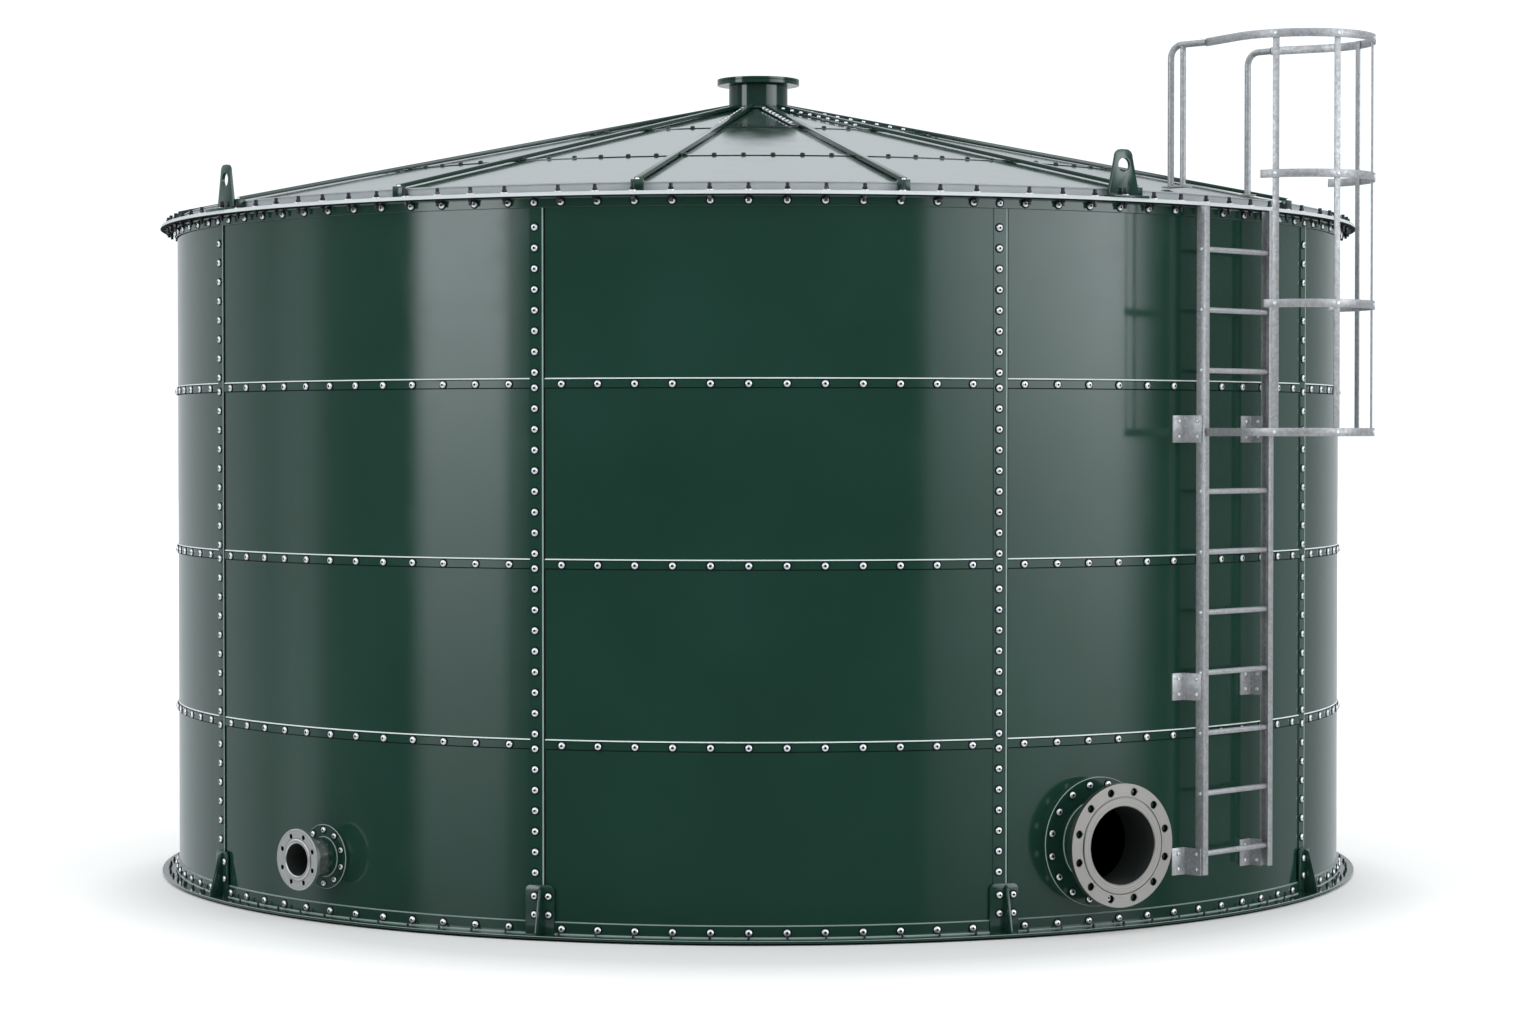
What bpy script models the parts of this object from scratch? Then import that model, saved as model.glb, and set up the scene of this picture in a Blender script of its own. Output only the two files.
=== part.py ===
# Bolted steel tank: a cylindrical shell of lapped plates, a base ring with gussets, a top ring,
# a low conical roof on radial ribs, a covered neck, two flanged nozzles, four lifting lugs and a
# caged ladder.
# Units are metres, +Z is up and the origin is on the tank's axis at ground level.
# Angles round the tank are in degrees from the front (-Y), positive towards +X.
import math

import bmesh
import bpy
from mathutils import Matrix, Vector

GAP = 0.0004  # clearance between pieces that touch
FACET = 5.0  # the round pieces share one polygon with corners at every facet

# Shell: bays of plates, each bay's last edge lapped over the next bay
SHELL_RADIUS = 3.250
PLATE_THICKNESS = 0.006
BAYS = 9
BAY_ANGLE = 360 / BAYS
FIRST_SEAM = -19.2
SEAM_BEFORE = 0.027  # width of the lap before and after the bolt line
SEAM_AFTER = 0.045
COURSES = 4
COURSE_PITCH = 0.866
BASE_ROW_HEIGHT = 0.065
LAP_BELOW = 0.017
LAP_ABOVE = 0.024
LAP_THICKNESS = 0.004
WALL_TOP = 3.5436

# Floor plate and base ring, an angle with its flat leg outwards
FLOOR_RADIUS = 3.325
FLOOR_THICKNESS = 0.012
RING_RADIUS = 3.344
RING_THICKNESS = 0.010
BASE_FLANGE_TOP = 0.024
BASE_LEG_TOP = 0.083

# Gussets at the seams: a back plate and a tapered rib, both to the right of the bolt line
FOOT_HALF_WIDTH = 0.075
FOOT_OFFSET = 0.026
FOOT_TOP = 0.260
FOOT_CORNER = 0.030
GUSSET_THICKNESS = 0.012
GUSSET_OFFSET = 0.034
GUSSET_TOP_DEPTH = 0.022
GUSSET_FOOT_DEPTH = 0.086

# Top ring, an angle with its flat leg outwards and a low lip that the roof's edge lies on
TOP_LEG_BOTTOM = 3.506
TOP_FLANGE_BOTTOM = 3.555
TOP_FLANGE_TOP = 3.5745
TOP_STEP_RADIUS = 3.235
LIP_RADIUS = 3.190
LIP_TOP = 3.556

# Roof: three lapped rings of a low cone, whose edge rests on an upright eave strip
EAVE_HEIGHT = 3.619
EAVE_OUTER_RADIUS = 3.220
EAVE_THICKNESS = 0.006
ROOF_SLOPE = 0.2093
ROOF_EDGE_RADIUS = 3.225
ROOF_THICKNESS = 0.006
ROOF_LAPS = (2.262, 1.098)
ROOF_LAP_HALF = 0.025
ROOF_LAP_THICKNESS = 0.0035
NECK_RADIUS = 0.166

# Roof ribs, with a block at each foot on the top ring and a ring round the neck
RIBS = 16
FIRST_RIB = 12.3
RIB_WIDTH = 0.030
RIB_HEIGHT = 0.020
RIB_CLEARANCE = 0.0055
RIB_END = 3.250
RIB_FOOT_INNER = 3.231
RIB_FOOT_OUTER = 3.262
RIB_FOOT_WIDTH = 0.060
RIB_FOOT_TOP = 3.634
HUB_OUTER_RADIUS = 0.225
HUB_HEIGHT = 0.014

# Neck
NECK_WALL = 0.008
NECK_TOP = 4.422
NECK_FLANGE_RADIUS = 0.232
NECK_FLANGE_THICKNESS = 0.020
COVER_RIM = 0.014
COVER_RISE = 0.021

# Lifting lugs: a foot plate on the top ring and an upright plate along it with a shackle hole
LUG_ANGLES = (33.0, 123.0, 213.0, 303.0)
LUG_INNER = 3.263
LUG_THICKNESS = 0.016
LUG_BASE_HALF = 0.093
LUG_TOP_HALF = 0.054
LUG_CORNER = 0.038
LUG_TOP = 3.815
LUG_HOLE_LEVEL = 3.737
LUG_HOLE_RADIUS = 0.036
LUG_PLATE_OUTER = 3.340
LUG_PLATE_HALF = 0.110
LUG_PLATE_THICKNESS = 0.012

# Nozzles: place, then radii, then how far each part reaches from the tank's axis
LARGE_NOZZLE = dict(
    name="large_nozzle", angle=30.6, height=0.4345, bore=0.190, pipe=0.207, pad=0.317,
    cutout=0.222, flange=0.301, raised=0.234, hole_circle=0.265, hole=0.0165, holes=12,
    face=3.4645, thickness=0.030, stub=0.207, stub_length=0.020,
)
SMALL_NOZZLE = dict(
    name="small_nozzle", angle=-41.6, height=0.3185, bore=0.0806, pipe=0.0975, pad=0.161,
    cutout=0.135, flange=0.152, raised=0.103, hole_circle=0.121, hole=0.0105, holes=8,
    face=3.444, thickness=0.022, stub=0.0885, stub_length=0.107,
)
PIPE_START = 3.225
PAD_THICKNESS = 0.012
RAISED_FACE = 0.004
NOZZLE_SIDES = 32

# Ladder: two channel stringers with round rungs
LADDER_ANGLE = 45.8
LADDER_FRONT = 3.3605  # distance of its front plane from the tank's axis
STRINGER_DEPTH = 0.050
STRINGER_WIDTH = 0.040
STRINGER_OFFSET = 0.270
STRINGER_BOTTOM = 0.235
STRINGER_TOP = 3.552
RUNG_RADIUS = 0.014
RUNG_LINE = 3.3395
RUNG_BOTTOM = 0.340
RUNG_PITCH = 0.300
RUNGS = 11
BRACKET_HEIGHTS = (0.300, 1.170, 2.450)
BRACKET_HEIGHT = 0.135
BRACKET_FOOT_WIDTH = 0.090
BRACKET_THICKNESS = 0.008

# Cage: hoops of flat bar with four upright bars inside them
CAGE_CENTRE = 3.7135
CAGE_RADIUS = 0.374
HOOP_HEIGHT = 0.040
HOOP_THICKNESS = 0.006
HOOP_HEIGHTS = (2.434, 3.057, 3.684, 4.360)
HOOP_LEG_TURN = 110.0
HOOP_STEP = 10.0
CAGE_BAR_TURNS = (-72.0, -24.0, 24.0, 72.0)
CAGE_BAR_WIDTH = 0.032
CAGE_BAR_THICKNESS = 0.006

# Hand rails from the roof's edge to the ends of the top hoop
RAIL_RADIUS = 0.016
RAIL_INNER_POST = 3.133
RAIL_OUTER_POST = 3.208
RAIL_BEND = 0.065
RAIL_END = 3.350
RAIL_FOOT_HALF = 0.032
RAIL_FOOT_THICKNESS = 0.008


def material(name, colour, roughness, metallic):
    made = bpy.data.materials.new(name)
    made.use_nodes = True
    shader = made.node_tree.nodes["Principled BSDF"]
    shader.inputs["Base Color"].default_value = (*colour, 1)
    shader.inputs["Roughness"].default_value = roughness
    shader.inputs["Metallic"].default_value = metallic
    return made


def polar(radius, angle, height=0.0, facet=FACET):
    """Point at an angle on the polygon whose corners lie on a circle of this radius."""
    turn = math.radians(angle)
    half = math.radians(facet / 2)
    from_middle = math.radians(angle % facet) - half
    reach = radius * math.cos(half) / math.cos(from_middle)
    return Vector((reach * math.sin(turn), -reach * math.cos(turn), height))


def station(angle, height=0.0):
    """Frame at an angle: X runs outwards, Y round the tank with the angle, Z up."""
    turn = math.radians(angle)
    outwards = Vector((math.sin(turn), -math.cos(turn), 0))
    round_tank = Vector((math.cos(turn), math.sin(turn), 0))
    frame = Matrix((outwards, round_tank, (0, 0, 1))).transposed().to_4x4()
    return Matrix.Translation((0, 0, height)) @ frame


def width_angle(width):
    """Angle that a width takes up on the shell."""
    return math.degrees(width / SHELL_RADIUS)


def add_object(name, mesh, paint, matrix=None):
    obj = bpy.data.objects.new(name, mesh)
    bpy.context.scene.collection.objects.link(obj)
    mesh.materials.append(paint)
    if matrix:
        obj.matrix_world = matrix
    return obj


def mesh_from(name, points, faces):
    """Mesh of the given faces, with its normals turned outwards and round sides smooth."""
    mesh = bpy.data.meshes.new(name)
    mesh.from_pydata(points, [], faces)
    shape = bmesh.new()
    shape.from_mesh(mesh)
    bmesh.ops.recalc_face_normals(shape, faces=shape.faces)
    shape.to_mesh(mesh)
    shape.free()
    mesh.shade_smooth()
    mesh.set_sharp_from_angle(angle=math.radians(30))
    return mesh


def sweep_angles(start, end, facet=FACET):
    """The two ends and every polygon corner between them."""
    first = math.floor(start / facet) + 1
    last = math.ceil(end / facet) - 1
    return [start] + [facet * i for i in range(first, last + 1)] + [end]


def swept(name, profile, start, end, facet=FACET):
    """Profile of (radius, height) points swept from one angle to another, closed by end faces."""
    angles = sweep_angles(start, end, facet)
    points = [polar(r, a, z, facet) for a in angles for r, z in profile]
    size = len(profile)
    faces = []
    for step in range(len(angles) - 1):
        here, there = step * size, (step + 1) * size
        for i in range(size):
            j = (i + 1) % size
            faces.append((here + i, here + j, there + j, there + i))
    faces.append(tuple(range(size)))
    faces.append(tuple(range((len(angles) - 1) * size, len(angles) * size)))
    return mesh_from(name, points, faces)


def turned(name, profile, facet=FACET):
    """Profile of (radius, height) points turned the whole way round."""
    count = round(360 / facet)
    size = len(profile)
    points = [polar(r, facet * i, z, facet) for i in range(count) for r, z in profile]
    faces = []
    for step in range(count):
        here, there = step * size, (step + 1) % count * size
        for i in range(size):
            j = (i + 1) % size
            faces.append((here + i, here + j, there + j, there + i))
    return mesh_from(name, points, faces)


def extruded(name, outline, low, high, lift):
    """Outline extruded from low to high. The lift turns an outline point and a depth into XYZ."""
    size = len(outline)
    points = [lift(a, b, depth) for depth in (low, high) for a, b in outline]
    faces = [tuple(range(size)), tuple(range(size, 2 * size))]
    faces += [(i, (i + 1) % size, (i + 1) % size + size, i + size) for i in range(size)]
    return mesh_from(name, points, faces)


def side_plate(name, outline, low, high):
    """Plate drawn in X and Z, with its thickness along Y."""
    return extruded(name, outline, low, high, lambda x, z, y: (x, y, z))


def flat_plate(name, outline, low, high):
    """Plate drawn in X and Y, with its thickness along Z."""
    return extruded(name, outline, low, high, lambda x, y, z: (x, y, z))


def face_plate(name, outline, low, high):
    """Plate drawn in Y and Z, with its thickness along X."""
    return extruded(name, outline, low, high, lambda y, z, x: (x, y, z))


def block(name, x, y, z):
    """Box between the given low and high values on each local axis."""
    outline = [(x[0], z[0]), (x[1], z[0]), (x[1], z[1]), (x[0], z[1])]
    return side_plate(name, outline, y[0], y[1])


def circle(radius, sides, centre=(0.0, 0.0)):
    turns = [2 * math.pi * (i + 0.5) / sides for i in range(sides)]
    return [(centre[0] + radius * math.cos(t), centre[1] + radius * math.sin(t)) for t in turns]


def cylinder(name, radius, low, high, sides=NOZZLE_SIDES, centre=(0.0, 0.0)):
    """Cylinder along the local X axis."""
    return face_plate(name, circle(radius, sides, centre), low, high)


def combine(obj, operation, meshes, matrix):
    """Joins the meshes to an object, or cuts them from it."""
    group = bpy.data.collections.new(f"{obj.name}_{operation.lower()}")
    bpy.context.scene.collection.children.link(group)
    for mesh in meshes:
        tool = bpy.data.objects.new(mesh.name + "_tool", mesh)
        tool.matrix_world = matrix
        tool.hide_render = True
        tool.display_type = "WIRE"
        group.objects.link(tool)
    modifier = obj.modifiers.new(operation.title(), "BOOLEAN")
    modifier.operation = operation
    modifier.operand_type = "COLLECTION"
    modifier.collection = group
    modifier.solver = "EXACT"


def roof_height(radius):
    """Height of the underside of the roof sheets at a radius."""
    return EAVE_HEIGHT + (ROOF_EDGE_RADIUS - radius) * ROOF_SLOPE


def roof_top(radius):
    return roof_height(radius) + ROOF_THICKNESS


# The floor plate, then the base ring with a gusset at each seam
def build_base():
    corners = [polar(FLOOR_RADIUS, FACET * i)[:2] for i in range(round(360 / FACET))]
    plate = flat_plate("bottom_plate", corners, 0, FLOOR_THICKNESS)
    add_object("bottom_plate", plate, DARK)
    inner = SHELL_RADIUS + GAP
    thick = inner + RING_THICKNESS
    under = FLOOR_THICKNESS + GAP
    profile = [
        (inner, under), (RING_RADIUS, under), (RING_RADIUS, BASE_FLANGE_TOP),
        (thick, BASE_FLANGE_TOP), (thick, BASE_LEG_TOP), (inner, BASE_LEG_TOP),
    ]
    ring = add_object("base_ring", turned("base_ring", profile), GREEN)
    back = SHELL_RADIUS + PLATE_THICKNESS + 2 * GAP
    front = back + RING_THICKNESS
    foot = BASE_FLANGE_TOP - 0.006
    shoulder = FOOT_TOP - FOOT_CORNER
    left, right = FOOT_OFFSET - FOOT_HALF_WIDTH, FOOT_OFFSET + FOOT_HALF_WIDTH
    plate_outline = [
        (left, foot), (right, foot), (right, shoulder), (right - FOOT_CORNER, FOOT_TOP),
        (left + FOOT_CORNER, FOOT_TOP), (left, shoulder),
    ]
    rib_outline = [
        (front - 0.005, foot - 0.003),
        (SHELL_RADIUS + GUSSET_FOOT_DEPTH, foot - 0.003),
        (SHELL_RADIUS + GUSSET_FOOT_DEPTH, BASE_FLANGE_TOP + 0.016),
        (front + GUSSET_TOP_DEPTH, FOOT_TOP - 0.020),
        (front - 0.005, FOOT_TOP - 0.006),
    ]
    side = GUSSET_OFFSET - GUSSET_THICKNESS / 2
    for seam in range(BAYS):
        place = station(FIRST_SEAM + BAY_ANGLE * seam)
        plate = face_plate("back_plate", plate_outline, back, front)
        rib = side_plate("gusset", rib_outline, side, side + GUSSET_THICKNESS)
        combine(ring, "UNION", [plate, rib], place)


# The wall: each bay is four plates deep, with raised laps between them and at its last edge
def build_bays():
    inner, outer = SHELL_RADIUS - PLATE_THICKNESS, SHELL_RADIUS
    seam_face = outer + PLATE_THICKNESS
    low = FLOOR_THICKNESS + GAP
    wall_profile = [(inner, low), (outer, low), (outer, WALL_TOP), (inner, WALL_TOP)]
    root = outer - PLATE_THICKNESS / 2
    seam_low, seam_high = BASE_LEG_TOP + GAP, TOP_LEG_BOTTOM - GAP
    seam_profile = [
        (root, seam_low), (seam_face, seam_low), (seam_face, seam_high), (root, seam_high),
    ]
    for bay in range(BAYS):
        start = FIRST_SEAM + BAY_ANGLE * bay + width_angle(SEAM_AFTER + GAP)
        end = FIRST_SEAM + BAY_ANGLE * (bay + 1) + width_angle(SEAM_AFTER)
        seam_start = end - width_angle(SEAM_BEFORE + SEAM_AFTER)
        name = f"wall_bay_{bay + 1}"
        mesh = swept(name, wall_profile, start, end - width_angle(GAP))
        wall = add_object(name, mesh, GREEN)
        raised = [swept("seam_lap", seam_profile, seam_start, end)]
        for course in range(1, COURSES):
            height = BASE_ROW_HEIGHT + COURSE_PITCH * course
            bottom, top = height - LAP_BELOW, height + LAP_ABOVE
            face = outer + LAP_THICKNESS
            lap = [(root, bottom), (face, bottom), (face, top), (root, top)]
            lap_start = start + width_angle(0.001)
            raised.append(swept("lap", lap, lap_start, seam_start + width_angle(0.010)))
        combine(wall, "UNION", raised, Matrix.Identity(4))
        for nozzle in (LARGE_NOZZLE, SMALL_NOZZLE):
            if 0 < (nozzle["angle"] - start) % 360 < BAY_ANGLE:
                place = station(nozzle["angle"], nozzle["height"])
                hole = cylinder("hole", nozzle["cutout"], SHELL_RADIUS - 0.1, SHELL_RADIUS + 0.1)
                combine(wall, "DIFFERENCE", [hole], place)


def build_top_ring():
    inner = SHELL_RADIUS + GAP
    thick = inner + RING_THICKNESS
    lip_low = WALL_TOP + GAP
    profile = [
        (inner, TOP_LEG_BOTTOM), (thick, TOP_LEG_BOTTOM),
        (thick, TOP_FLANGE_BOTTOM), (RING_RADIUS, TOP_FLANGE_BOTTOM),
        (RING_RADIUS, TOP_FLANGE_TOP), (TOP_STEP_RADIUS, TOP_FLANGE_TOP),
        (TOP_STEP_RADIUS, LIP_TOP), (LIP_RADIUS, LIP_TOP),
        (LIP_RADIUS, lip_low), (inner, lip_low),
    ]
    add_object("top_ring", turned("top_ring", profile), GREEN)


# The eave strip, then three rings of roof sheet. Each upper ring laps over the one below it.
def build_roof():
    inner, outer = EAVE_OUTER_RADIUS - EAVE_THICKNESS, EAVE_OUTER_RADIUS
    strip = [
        (inner, LIP_TOP + GAP), (outer, LIP_TOP + GAP),
        (outer, roof_height(outer) - GAP), (inner, roof_height(inner) - GAP),
    ]
    add_object("eave_strip", turned("eave_strip", strip), ZINC)
    edges = [ROOF_EDGE_RADIUS, *ROOF_LAPS, NECK_RADIUS + GAP]
    names = ("roof_outer_ring", "roof_middle_ring", "roof_inner_ring")
    for i, name in enumerate(names):
        outer = edges[i] if i == 0 else edges[i] - GAP
        inner = edges[i + 1]
        profile = [(inner, roof_height(inner)), (outer, roof_height(outer))]
        if i == 0:
            profile.append((outer, roof_top(outer)))
        else:
            lip, back = edges[i] + ROOF_LAP_HALF, edges[i] - ROOF_LAP_HALF
            over = ROOF_LAP_THICKNESS
            profile += [
                (outer, roof_top(outer) + GAP),
                (lip, roof_top(lip) + GAP),
                (lip, roof_top(lip) + GAP + over),
                (back, roof_top(back) + GAP + over),
                (back, roof_top(back)),
            ]
        profile.append((inner, roof_top(inner)))
        add_object(name, turned(name, profile), GREEN)


# Sixteen radial ribs that reach over the eave to their feet, joined by a ring round the neck
def build_ribs():
    inner, outer = NECK_RADIUS + 3 * GAP, HUB_OUTER_RADIUS
    hub = [
        (inner, roof_top(inner) + 0.001),
        (outer, roof_top(outer) + 0.001),
        (outer, roof_top(outer) + HUB_HEIGHT),
        (inner, roof_top(inner) + HUB_HEIGHT),
    ]
    frame = add_object("roof_ribs", turned("roof_ribs", hub, 10.0), GREEN)
    near, far = HUB_OUTER_RADIUS - 0.025, RIB_END
    low, high = RIB_CLEARANCE, RIB_CLEARANCE + RIB_HEIGHT
    side = [
        (near, roof_top(near) + low),
        (far, roof_top(far) + low),
        (far, roof_top(far) + high),
        (near, roof_top(near) + high),
    ]
    foot_reach = (RIB_FOOT_INNER, RIB_FOOT_OUTER)
    foot_rise = (TOP_FLANGE_TOP + 0.001, RIB_FOOT_TOP)
    half_foot = RIB_FOOT_WIDTH / 2
    for number in range(RIBS):
        place = station(FIRST_RIB + 360 / RIBS * number)
        rib = side_plate("rib", side, -RIB_WIDTH / 2, RIB_WIDTH / 2)
        foot = block("rib_foot", foot_reach, (-half_foot, half_foot), foot_rise)
        combine(frame, "UNION", [rib, foot], place)


def build_neck():
    outer, inner = NECK_RADIUS, NECK_RADIUS - NECK_WALL
    foot = roof_height(outer) - 0.020
    flange_low = NECK_TOP - NECK_FLANGE_THICKNESS
    profile = [
        (inner, foot),
        (outer, foot),
        (outer, flange_low),
        (NECK_FLANGE_RADIUS, flange_low),
        (NECK_FLANGE_RADIUS, NECK_TOP),
        (inner, NECK_TOP),
    ]
    add_object("roof_neck", turned("roof_neck", profile, 10.0), GREEN)
    low = NECK_TOP + GAP
    levels = [
        (NECK_FLANGE_RADIUS, low),
        (NECK_FLANGE_RADIUS, low + COVER_RIM),
        (NECK_FLANGE_RADIUS * 0.55, low + COVER_RIM + (COVER_RISE - COVER_RIM) * 0.7),
    ]
    sides = 36
    points = [polar(r, 10.0 * i, z, 10.0) for r, z in levels for i in range(sides)]
    points.append(Vector((0, 0, NECK_TOP + COVER_RISE)))
    faces = [tuple(range(sides))]
    for level in range(2):
        a, b = level * sides, (level + 1) * sides
        faces += [(a + i, a + (i + 1) % sides, b + (i + 1) % sides, b + i) for i in range(sides)]
    faces += [(2 * sides + i, 2 * sides + (i + 1) % sides, 3 * sides) for i in range(sides)]
    add_object("neck_cover", mesh_from("neck_cover", points, faces), GREEN)


# Lifting lugs, which stand on the flange of the top ring outside the rib feet
def build_lugs():
    base = TOP_FLANGE_TOP + GAP
    inner, outer = LUG_INNER, LUG_INNER + LUG_THICKNESS
    corner = [math.radians(90 * i / 5) for i in range(6)]
    cap = [
        (
            LUG_TOP_HALF - LUG_CORNER + LUG_CORNER * math.cos(t),
            LUG_TOP - LUG_CORNER + LUG_CORNER * math.sin(t),
        )
        for t in corner
    ]
    outline = [(-LUG_BASE_HALF, base + 0.004), (LUG_BASE_HALF, base + 0.004)]
    outline.append((LUG_BASE_HALF, base + 0.030))
    outline += cap
    outline += [(-y, z) for y, z in reversed(cap)]
    outline.append((-LUG_BASE_HALF, base + 0.030))
    reach, across = (inner - 0.001, LUG_PLATE_OUTER), (-LUG_PLATE_HALF, LUG_PLATE_HALF)
    hole = circle(LUG_HOLE_RADIUS, 16, (0.0, LUG_HOLE_LEVEL))
    for number, angle in enumerate(LUG_ANGLES):
        name = f"lifting_lug_{number + 1}"
        place = station(angle)
        foot = block(name, reach, across, (base, base + LUG_PLATE_THICKNESS))
        lug = add_object(name, foot, GREEN, place)
        combine(lug, "UNION", [face_plate("lug_plate", outline, inner, outer)], place)
        through = face_plate("lug_hole", hole, inner - 0.010, outer + 0.010)
        combine(lug, "DIFFERENCE", [through], place)


# Each nozzle: a pad over a cut-out in the wall, a pipe through both, a stub end whose lip is the
# raised face, and a loose drilled flange behind that lip
def build_nozzle(nozzle):
    place = station(nozzle["angle"], nozzle["height"])
    name = nozzle["name"]
    wall = SHELL_RADIUS + GAP
    pad_face = wall + PAD_THICKNESS
    sag = nozzle["pad"] ** 2 / SHELL_RADIUS / 2 + 0.010
    pad_mesh = cylinder(name + "_pad", nozzle["pad"], wall - sag, pad_face)
    pad = add_object(name + "_pad", pad_mesh, GREEN, place)
    corners = [polar(wall, FACET * i)[:2] for i in range(round(360 / FACET))]
    barrel = flat_plate("barrel", corners, -0.5, 1.5)
    combine(pad, "DIFFERENCE", [barrel], Matrix.Identity(4))
    through = cylinder("pad_hole", nozzle["pipe"] + GAP, wall - 0.2, pad_face + 0.1)
    combine(pad, "DIFFERENCE", [through], place)
    front = nozzle["face"] - RAISED_FACE
    back = front - nozzle["thickness"]
    stub_start = back - nozzle["stub_length"]
    pipe_mesh = cylinder(name + "_pipe", nozzle["pipe"], PIPE_START, stub_start - GAP)
    pipe = add_object(name + "_pipe", pipe_mesh, GREEN, place)
    bore = [cylinder("bore", nozzle["bore"], PIPE_START - 0.1, nozzle["face"] + 0.1)]
    combine(pipe, "DIFFERENCE", bore, place)
    sleeve = cylinder(name + "_stub", nozzle["stub"], stub_start, nozzle["face"] - 0.001)
    stub = add_object(name + "_stub", sleeve, STAINLESS, place)
    lip = cylinder("lip", nozzle["raised"], front + GAP, nozzle["face"])
    combine(stub, "UNION", [lip], place)
    combine(stub, "DIFFERENCE", bore, place)
    disc = cylinder(name + "_flange", nozzle["flange"], back, front)
    flange = add_object(name + "_flange", disc, STAINLESS, place)
    cutters = [cylinder("flange_hole", nozzle["stub"] + GAP, back - 0.1, front + 0.1)]
    for number in range(nozzle["holes"]):
        turn = 2 * math.pi * (number + 0.5) / nozzle["holes"]
        centre = (nozzle["hole_circle"] * math.sin(turn), nozzle["hole_circle"] * math.cos(turn))
        cutters.append(cylinder("hole", nozzle["hole"], back - 0.01, front + 0.01, 8, centre))
    combine(flange, "DIFFERENCE", cutters, place)


def build_ladder():
    place = station(LADDER_ANGLE)
    half = STRINGER_WIDTH / 2
    reach = (LADDER_FRONT - STRINGER_DEPTH, LADDER_FRONT)
    rise = (STRINGER_BOTTOM, STRINGER_TOP)
    near = (-STRINGER_OFFSET - half, -STRINGER_OFFSET + half)
    far = (STRINGER_OFFSET - half, STRINGER_OFFSET + half)
    ladder = add_object("ladder", block("ladder", reach, near, rise), ZINC, place)
    parts = [block("stringer", reach, far, rise)]
    for number in range(RUNGS):
        height = RUNG_BOTTOM + RUNG_PITCH * number
        outline = circle(RUNG_RADIUS, 10, (RUNG_LINE, height))
        parts.append(side_plate("rung", outline, -STRINGER_OFFSET, STRINGER_OFFSET))
    combine(ladder, "UNION", parts, place)


def build_brackets():
    """Bent plates: a foot that lies on the wall and an arm along the stringer's near side."""
    place = station(LADDER_ANGLE)
    levels = ("low", "middle", "high")
    for level, height in zip(levels, BRACKET_HEIGHTS):
        low, high = height - BRACKET_HEIGHT / 2, height + BRACKET_HEIGHT / 2
        for side, sign in (("near", -1), ("far", 1)):
            arm = sign * STRINGER_OFFSET - STRINGER_WIDTH / 2 - GAP
            # The far arm is on the rungs' side of its stringer, so it stops behind them.
            end = LADDER_FRONT - 0.012 if side == "near" else RUNG_LINE - RUNG_RADIUS - 0.002
            tip = arm - BRACKET_FOOT_WIDTH
            arm_root = math.sqrt(SHELL_RADIUS**2 - arm**2) + 0.001
            tip_root = math.sqrt(SHELL_RADIUS**2 - tip**2) + 0.001
            bend = arm - BRACKET_THICKNESS
            plan = [
                (tip_root, tip),
                (arm_root, arm),
                (end, arm),
                (end, bend),
                (arm_root + BRACKET_THICKNESS, bend),
                (tip_root + BRACKET_THICKNESS, tip),
            ]
            name = f"ladder_bracket_{level}_{side}"
            add_object(name, flat_plate(name, plan, low, high), ZINC, place)


def bar_outline(route, thickness):
    """Plan outline of a flat bar whose outer face follows the route."""
    route = [Vector(point) for point in route]
    inner = []
    for i, here in enumerate(route):
        normals = []
        for a, b in ((i - 1, i), (i, i + 1)):
            if 0 <= a and b < len(route):
                along = (route[b] - route[a]).normalized()
                normals.append(Vector((-along.y, along.x)))
        middle = sum(normals, Vector((0, 0))).normalized()
        inner.append(here + middle * thickness / middle.dot(normals[0]))
    return [tuple(p) for p in route + inner[::-1]]


def cage_arc(start, end, radius=CAGE_RADIUS):
    """Plan points round the cage's centre. The turn is in degrees from straight outwards."""
    count = max(2, round((end - start) / HOOP_STEP))
    turns = [math.radians(start + (end - start) * i / count) for i in range(count + 1)]
    return [(CAGE_CENTRE + radius * math.cos(t), radius * math.sin(t)) for t in turns]


def build_cage():
    place = station(LADDER_ANGLE)
    arc = cage_arc(-HOOP_LEG_TURN, HOOP_LEG_TURN)
    foot = LADDER_FRONT + GAP + HOOP_THICKNESS
    tab = [(foot, -STRINGER_OFFSET + 0.014), (foot, -STRINGER_OFFSET - 0.014)]
    lowest = tab + arc + [(x, -y) for x, y in reversed(tab)]
    rail = [(RAIL_END + GAP, -STRINGER_OFFSET - 0.003)]
    highest = rail + arc + [(x, -y) for x, y in rail]
    routes = (lowest, cage_arc(-81, 102), cage_arc(-84, 102), highest)
    for number, (route, height) in enumerate(zip(routes, HOOP_HEIGHTS)):
        name = f"cage_hoop_{number + 1}"
        low, high = height - HOOP_HEIGHT / 2, height + HOOP_HEIGHT / 2
        outline = bar_outline(route, HOOP_THICKNESS)
        add_object(name, flat_plate(name, outline, low, high), ZINC, place)
    half = CAGE_BAR_WIDTH / 2
    # The hoops are polygons, so the bars stand clear of the middles of their sides.
    face = (CAGE_RADIUS - HOOP_THICKNESS) * math.cos(math.radians(HOOP_STEP / 2)) - 2 * GAP
    low = HOOP_HEIGHTS[0] - HOOP_HEIGHT / 2
    high = HOOP_HEIGHTS[-1] + HOOP_HEIGHT / 2
    for number, turn in enumerate(CAGE_BAR_TURNS):
        name = f"cage_bar_{number + 1}"
        bar = block(name, (face - CAGE_BAR_THICKNESS, face), (-half, half), (low, high))
        centre = Matrix.Translation((CAGE_CENTRE, 0, 0))
        spin = Matrix.Rotation(math.radians(turn), 4, "Z")
        add_object(name, bar, ZINC, place @ centre @ spin)


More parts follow.
